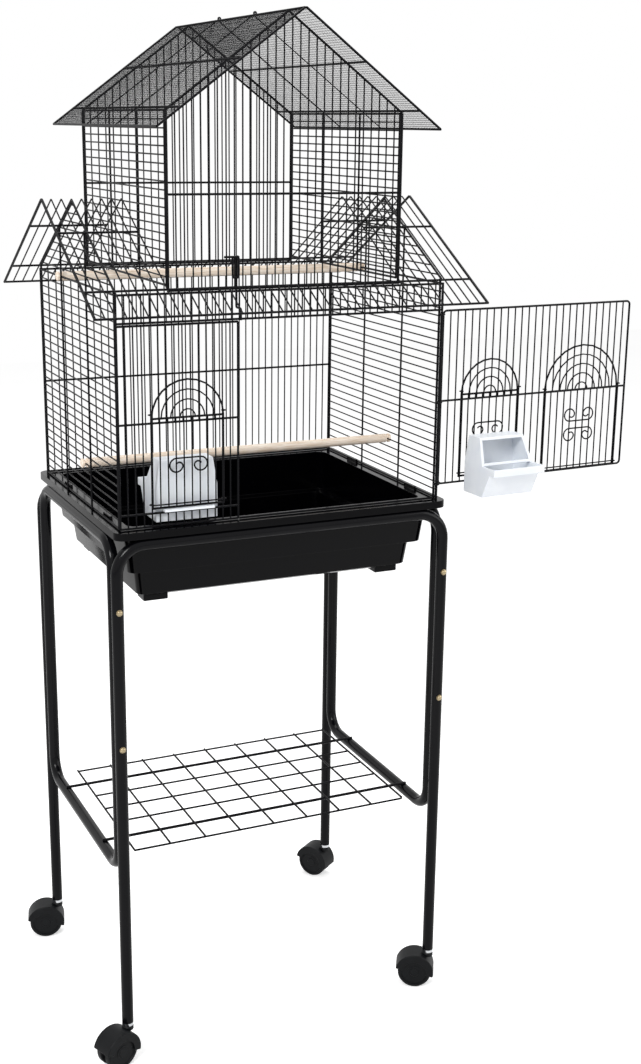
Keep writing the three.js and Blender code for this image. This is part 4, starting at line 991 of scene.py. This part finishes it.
def latch():
    """Drop latch of one bent wire: hook below, long stem, a loop and a finger rest above."""
    low, high = span("door_latch")
    x = high.x - 1.2
    front, inside = low.y + RAIL_R, high.y - RAIL_R
    cross = FLANGE_Z + 277
    top = high.z - RAIL_R
    rest_y = -HALF_D - 6.5
    hook = bent([(x, front, low.z), (x, front, cross), (x, inside, cross), (x, inside, top),
                 (x, rest_y, top), (low.x + RAIL_R, rest_y, top)], RAIL_R, 2.2, 10, 4)
    near, far = x - 0.5, x - 8.5
    loop = bent([(near, rest_y, top - 1), (near, rest_y, top - 26),
                 (far, rest_y, top - 26), (far, rest_y, top - 1)], RAIL_R, 3.4, 10, 5)
    finish_wires([hook, loop], "latch_wire", "door_latch", "door_latch")


# ---------------------------------------------------------------- cups
CUP_W, CUP_WALL = 84, 2.2
CUP_SET = 3.9                    # from the bars to the cup's back wall
FOOT_DEEP, FOOT_HIGH = 46, 34    # the lower part of the basin
FLARE = 16                       # how far its front leans out at the top
COLLAR_HIGH, LIP_DEEP = 10, 12   # upright part over it, and the lip in front of that
HOOD_DEEP, HOOD_HIGH = 44, 36
HOOD_TOP_DEEP = 26
HOOD_TAPER = 0.86                # its top's width to its foot's
LEDGE_W, LEDGE_DEEP, LEDGE_T = 68, 13.2, 3.5


def turned_block(middle, inward, size):
    """Adds a box that faces inward, sized across, inward and up, and opens it for editing."""
    turn = Matrix((inward.cross(Z), inward, Z)).transposed()
    bpy.ops.object.select_all(action="DESELECT")
    bpy.ops.mesh.primitive_cube_add(size=1, location=at(middle), rotation=turn.to_euler())
    bpy.context.object.scale = Vector(size) * MM
    settle()
    bpy.ops.object.mode_set(mode="EDIT")


def hooded_cup(back, u, inward):
    """Milky cup: deep flared basin with a lip in front, and an open hood at the back.

    back is the middle of its foot on its back wall, u across it, inward away from the bars.
    """
    def deep(place):
        return (place - back).dot(inward)

    rim = back.z + FOOT_HIGH - 1
    middle = back + inward * FOOT_DEEP / 2 + Z * FOOT_HIGH / 2
    turned_block(middle, inward, (CUP_W, FOOT_DEEP, FOOT_HIGH))
    pick_edges(lambda a, b: min(a.z, b.z) > rim and min(deep(a), deep(b)) > FOOT_DEEP - 6)
    bpy.ops.transform.translate(value=inward * FLARE * MM)
    pick_faces(lambda place, normal: normal.z > 0.9)
    run(Z * COLLAR_HIGH)
    pick_faces(lambda place, normal: normal.dot(inward) > 0.99 and deep(place) > 60)
    run(inward * LIP_DEEP)
    pick_faces(lambda place, normal: normal.z > 0.9 and deep(place) < 62)
    hood_front = back + inward * HOOD_DEEP + Z * (FOOT_HIGH + COLLAR_HIGH)
    bpy.ops.mesh.bisect(plane_co=at(hood_front), plane_no=inward)
    pick_faces(lambda place, normal: normal.z > 0.9 and deep(place) < 40)
    run(Z * HOOD_HIGH)
    lean, taper = HOOD_TOP_DEEP / HOOD_DEEP - 1, HOOD_TAPER - 1
    smaller = [1 + lean * inward[i] ** 2 + taper * u[i] ** 2 for i in range(3)]
    bpy.ops.transform.resize(value=smaller, center_override=at(back))
    pick_faces(lambda place, normal: normal.z > 0.9 and deep(place) > 40)
    bpy.ops.mesh.delete(type="FACE")
    pick_faces(lambda place, normal: normal.dot(inward) > 0.7 and place.z > back.z + 50)
    bpy.ops.mesh.inset(thickness=4 * MM)
    bpy.ops.mesh.delete(type="FACE")
    return cup_wall(end_piece(30))


def cup_wall(shell):
    """Gives the cup its moulded wall, with rounded edges."""
    wall = shell.modifiers.new("wall", "SOLIDIFY")
    wall.thickness = CUP_WALL * MM
    wall.offset = -1
    wall.use_even_offset = True
    bpy.context.view_layer.objects.active = shell
    bpy.ops.object.modifier_apply(modifier=wall.name)
    return bevel(shell, 1.0, 3, 20)


def cup_ledge(back, inward):
    """Flat lip at the back that hangs over the rail, with a dished edge."""
    middle = back - inward * 5.4 + Z * 16.95
    turned_block(middle, inward, (LEDGE_W, LEDGE_DEEP, LEDGE_T))
    pick_faces(lambda place, normal: normal.dot(inward) < -0.9)
    bpy.ops.mesh.inset(thickness=0.7 * MM)
    draw_face(inward * 0.6)
    return bevel(end_piece(), 0.8, 2)


def cups():
    """The two cups, in the feeder openings of the front and of the big door."""
    low, high = span("front_cup")
    front = Vector(((low.x + high.x) / 2, -HALF_D + CUP_SET, low.z))
    door = on_door(opening(FEEDER)[0], -CUP_SET, span("door_cup")[0].z)
    for node, back, u, inward in (("front_cup", front, X, Y), ("door_cup", door, ALONG, -OUTWARD)):
        whole = weld([hooded_cup(back, u, inward), cup_ledge(back, inward)])
        bpy.ops.object.shade_smooth_by_angle(angle=radians(35))
        finish_piece(whole, node + "_shell", CUP, "cup_plastic", node, node)


# ---------------------------------------------------------------- perches
PERCH_END, PERCH_GROOVE = 0.84, 0.7     # radius at the chamfered ends and in the grooves
PERCH_CHAMFER = 0.9


def perches():
    """Two dowels across the cage, each with a groove near both ends that a bar sits in."""
    wall = HALF_W - 1.9
    for node in ("perch_lower", "perch_upper"):
        low, high = span(node)
        radius = (high.y - low.y) / 2
        axis = Vector((0, (low.y + high.y) / 2, high.z - radius))
        profile = ((low.x + PERCH_CHAMFER, 1),
                   (-wall - 3.9, 1), (-wall - 3.7, PERCH_GROOVE),
                   (-wall - 0.1, PERCH_GROOVE), (-wall + 0.1, 1),
                   (wall - 0.1, 1), (wall + 0.1, PERCH_GROOVE),
                   (wall + 3.7, PERCH_GROOVE), (wall + 3.9, 1),
                   (high.x - PERCH_CHAMFER, 1), (high.x, PERCH_END))
        start_wire(axis + X * low.x, X, radius * PERCH_END, 28)
        here, was = low.x, PERCH_END
        for x, now in profile:
            run(X * (x - here))
            swell(now / was)
            here, was = x, now
        finish_piece(end_piece(35), node + "_dowel", DOWEL, "perch_wood", ROOT, node)


# ---------------------------------------------------------------- upper storey
def tower_gable(side, node):
    """End wall of the upper storey: upright bars sawn off under the roof's slopes."""
    low, high = span(node)
    half = high.x - RAIL_R
    y = side * HALF_D
    apex = RIDGE_Z - 2.2 / cos(MAIN_SLOPE)
    base = low.z + RAIL_R
    fall = tan(MAIN_SLOPE)
    bars = grille((-half, y, base), X * 2 * half, Z * (apex - base + 5), TOWER_GAPS)
    for way in (-1, 1):
        saw(bars, (0, y, apex - 1), (way * sin(MAIN_SLOPE), 0, cos(MAIN_SLOPE)))
    ridge = Vector((0, y, apex - RAIL_R))
    pieces = [bars, rail((-half, y, base), X * 2 * half),
              rail((-half, y - side * RAIL_LAP, TOWER_MID_Z), X * 2 * half)]
    for way in (-1, 1):
        eave = Vector((way * half, y, apex - RAIL_R - fall * half))
        post = Z * (eave.z - base + RAIL_R)
        pieces.append(rail(eave, ridge - eave))
        pieces.append(rail((way * half, y, base - RAIL_R), post, ROOF_EDGE_R))
    finish_wires(pieces, node + "_wires", ROOT, node)


def tower_side(side, node):
    """Side wall of the upper storey: level bars between two posts, uprights inside."""
    low, high = span(node)
    x = side * (max(abs(low.x), abs(high.x)) - RAIL_R)
    base, top = low.z + RAIL_R, high.z - RAIL_R
    front = Vector((x, low.y + RAIL_R, base))
    depth = Y * (high.y - low.y - 2 * RAIL_R)
    rise = Z * (top - base)
    pieces = [grille(front, rise, depth, TOWER_SIDE_GAPS), rail(front, depth),
              rail(front + rise, depth), rail(front, rise), rail(front + depth, rise)]
    for y in (-STRONG_Y, STRONG_Y):
        pieces.append(rail((x - side * UPRIGHT_LAP, y, base), rise, UPRIGHT_R))
    finish_wires(pieces, node + "_wires", ROOT, node)


# ---------------------------------------------------------------- roofs
BAND_X = 161.8                   # half length of the open middle, from wing to wing
BAND_TOP, WING_RAIL = 0.785, 0.3        # how far down the slope each rail lies
WING_GAPS, BAND_GAPS = 8, 24
LOW_START = 1.2                  # the wires start this far down from the ridge
MAIN_START = 3
MAIN_RAILS = (0, 0.43, 0.84, 1)
RAFTER_Y, RAFTER_R = 64, 0.8     # the two thin rafters between the ends of the main roof
FRAME_DROP = 1.4                 # from the mesh down to the middle of its frame wires


def lower_roof(side, node):
    """Low pitched roof: slatted wings at both ends joined by a band along the eave."""
    length = hypot(LOW_DROP, LOW_Y)
    down = Vector((0, side * cos(LOW_SLOPE), -sin(LOW_SLOPE)))
    ridge = Vector((0, 0, LOW_RIDGE_Z))
    fall = down * (length - LOW_START - RAIL_R)
    wing = LOW_X - BAND_X
    pieces = []
    for way in (-1, 1):
        inner = ridge + X * (way * BAND_X)
        slats = straight(inner + down * LOW_START, fall, BAR_R)
        pieces.append(row(slats, X * way * wing / WING_GAPS, WING_GAPS + 1))
        pieces.append(rail(inner + down * length * WING_RAIL, X * way * wing))
    pitch = 2 * BAND_X / BAND_GAPS
    first = ridge + X * (pitch - BAND_X) + down * length * BAND_TOP
    slats = straight(first, down * (length * (1 - BAND_TOP) - RAIL_R), BAR_R)
    pieces.append(row(slats, X * pitch, BAND_GAPS - 1))
    for part in (BAND_TOP, 1 - RAIL_R / length):
        pieces.append(rail(ridge - X * LOW_X + down * length * part, X * 2 * LOW_X))
    for way in (-1, 1):
        end = ridge + X * (way * (LOW_X - 1)) + down * LOW_START
        pieces.append(rail(end, fall, ROOF_EDGE_R))
    finish_wires(pieces, node + "_wires", ROOT, node)


def main_roof(side, node):
    """Steep mesh roof: fine crossed wires in a frame of rails and rafters.

    The two small rings that the cage hangs by are on the right slope, at the ridge.
    """
    top = span(node)[1].z
    down = Vector((side * cos(MAIN_SLOPE), 0, -sin(MAIN_SLOPE)))
    up = Vector((side * sin(MAIN_SLOPE), 0, cos(MAIN_SLOPE)))
    ridge = Vector((0, 0, RIDGE_Z)) + down * MAIN_START - up * 0.6
    length = hypot(MAIN_DROP, MAIN_X) - MAIN_START - RAIL_R
    fall, across = down * length, Y * 2 * MAIN_Y
    corner = ridge - Y * MAIN_Y
    columns, rows = int(2 * MAIN_Y / MESH_PITCH), int(length / MESH_PITCH)
    long_wires = row(straight(corner, fall, MESH_R, 4), across / columns, columns + 1)
    cross_wires = row(straight(corner - up * MESH_R * 1.6, across, MESH_R, 4),
                      fall / rows, rows + 1)
    pieces = [long_wires, cross_wires]
    for part in MAIN_RAILS:
        pieces.append(rail(corner + fall * part - up * FRAME_DROP, across))
    for y, radius in ((-MAIN_Y, RAIL_R), (-RAFTER_Y, RAFTER_R), (RAFTER_Y, RAFTER_R),
                      (MAIN_Y, RAIL_R)):
        pieces.append(rail(ridge + Y * y - up * FRAME_DROP, fall, radius))
    if side > 0:
        for y in (-RAFTER_Y, RAFTER_Y):
            pieces.append(hoop(Vector((2.5, y, top - 3)), Y, Z * 1.7, 1.3, 2 * pi, 10, 6))
    finish_piece(weld(pieces), node + "_mesh", WIRE, "roof_mesh", ROOT, node)


# ---------------------------------------------------------------- stage, light and camera
def camera():
    """Eye at the height of the upper storey, to the front left."""
    lens = bpy.data.cameras.new("camera")
    eye = bpy.data.objects.new("camera", lens)
    bpy.context.scene.collection.objects.link(eye)
    yaw, pitch, roll = 0.436, 0.2678, 0.013
    ahead = Vector((sin(yaw) * cos(pitch), cos(yaw) * cos(pitch), -sin(pitch)))
    right = Vector((cos(yaw), -sin(yaw), 0))
    up = right.cross(ahead)
    level_right = right * cos(roll) + up * sin(roll)
    level_up = up * cos(roll) - right * sin(roll)
    eye.rotation_euler = Matrix((level_right, level_up, -ahead)).transposed().to_euler()
    eye.location = at((-765.8, -1932.9, 1263.2))
    lens.sensor_width = 36
    lens.lens = 50.22
    lens.clip_start = 0.05
    lens.clip_end = 50
    bpy.context.scene.camera = eye


def seen_directly(tree):
    """1 for rays that show the backdrop: camera, glossy and transmission rays."""
    path = add_node(tree, "ShaderNodeLightPath", {})
    seen = add_node(tree, "ShaderNodeMath", {
        0: path.outputs["Is Camera Ray"], 1: path.outputs["Is Glossy Ray"]},
        operation="MAXIMUM").outputs["Value"]
    return add_node(tree, "ShaderNodeMath", {
        0: seen, 1: path.outputs["Is Transmission Ray"]}, operation="MAXIMUM").outputs["Value"]


def surroundings():
    """White backdrop in the world that also lights the object evenly."""
    world = bpy.data.worlds.new("white_room")
    bpy.context.scene.world = world
    world.use_nodes = True
    tree = world.node_tree
    seen = seen_directly(tree)
    strength = add_node(tree, "ShaderNodeMapRange", {
        "Value": seen, "To Min": 0.55, "To Max": 1.0}).outputs["Result"]
    feed(tree, tree.nodes["Background"], {"Color": (1, 1, 1, 1), "Strength": strength})


def floor():
    """Pale floor that keeps the soft shadow of the casters and the tray."""
    bpy.ops.object.select_all(action="DESELECT")
    bpy.ops.mesh.primitive_plane_add(size=12, location=at((0, 0, 0)))
    ground = bpy.context.object
    settle()
    ground.name = "floor"
    # Matt white painted board: bright all over, so that only shadows show on it.
    material, tree, shader, place = new_material("matt_white_board")
    mottle = add_node(tree, "ShaderNodeTexNoise", {
        "Vector": place, "Scale": 2.0, "Detail": 2.0}).outputs["Fac"]
    colour = add_node(tree, "ShaderNodeMix", {
        0: mottle, 6: linear("#f6f6f6"), 7: linear("#fbfbfb")}, data_type="RGBA")
    seen = add_node(tree, "ShaderNodeLightPath", {}).outputs["Is Camera Ray"]
    glow = add_node(tree, "ShaderNodeMath", {0: seen, 1: 0.44}, operation="MULTIPLY")
    feed(tree, shader, {"Base Color": colour.outputs[2], "Roughness": 0.9,
                        "Specular IOR Level": 0.0, "Emission Color": (1, 1, 1, 1),
                        "Emission Strength": glow.outputs["Value"]})
    ground.data.materials.append(material)


def lamp(name, place, target, width, watts):
    """A square soft lamp that faces a target. Its width is in metres."""
    light = bpy.data.lights.new(name, "AREA")
    light.shape = "SQUARE"
    light.size = width
    light.energy = watts
    piece = bpy.data.objects.new(name, light)
    bpy.context.scene.collection.objects.link(piece)
    piece.location = at(place)
    piece.rotation_euler = (at(target) - at(place)).to_track_quat("-Z", "Y").to_euler()


def lamps():
    """Three soft lamps: front left, front right and overhead behind."""
    lamp("key", (-1900, -1900, 2600), (0, 0, 800), 1.0, 60)
    lamp("fill", (2300, -1500, 1700), (0, 0, 800), 1.8, 26)
    lamp("top", (200, 900, 3000), (0, 0, 900), 1.4, 34)


def build():
    """Makes every piece."""
    tray()
    stand()
    bolts()
    shelf()
    casters()
    back_panel()
    side_panel(-1, "cage_left_panel")
    side_panel(1, "cage_right_panel")
    fixed_front()
    front_header()
    door_post()
    door_sill()
    front_feeder()
    big_door()
    door_feeder()
    door_entry()
    latch()
    cups()
    perches()
    tower_gable(-1, "tower_front_panel")
    tower_gable(1, "tower_back_panel")
    tower_side(-1, "tower_left_panel")
    tower_side(1, "tower_right_panel")
    lower_roof(-1, "lower_roof_front")
    lower_roof(1, "lower_roof_back")
    main_roof(-1, "main_roof_left")
    main_roof(1, "main_roof_right")


bpy.context.scene.view_settings.view_transform = "Standard"
camera()
surroundings()
floor()
lamps()
build()
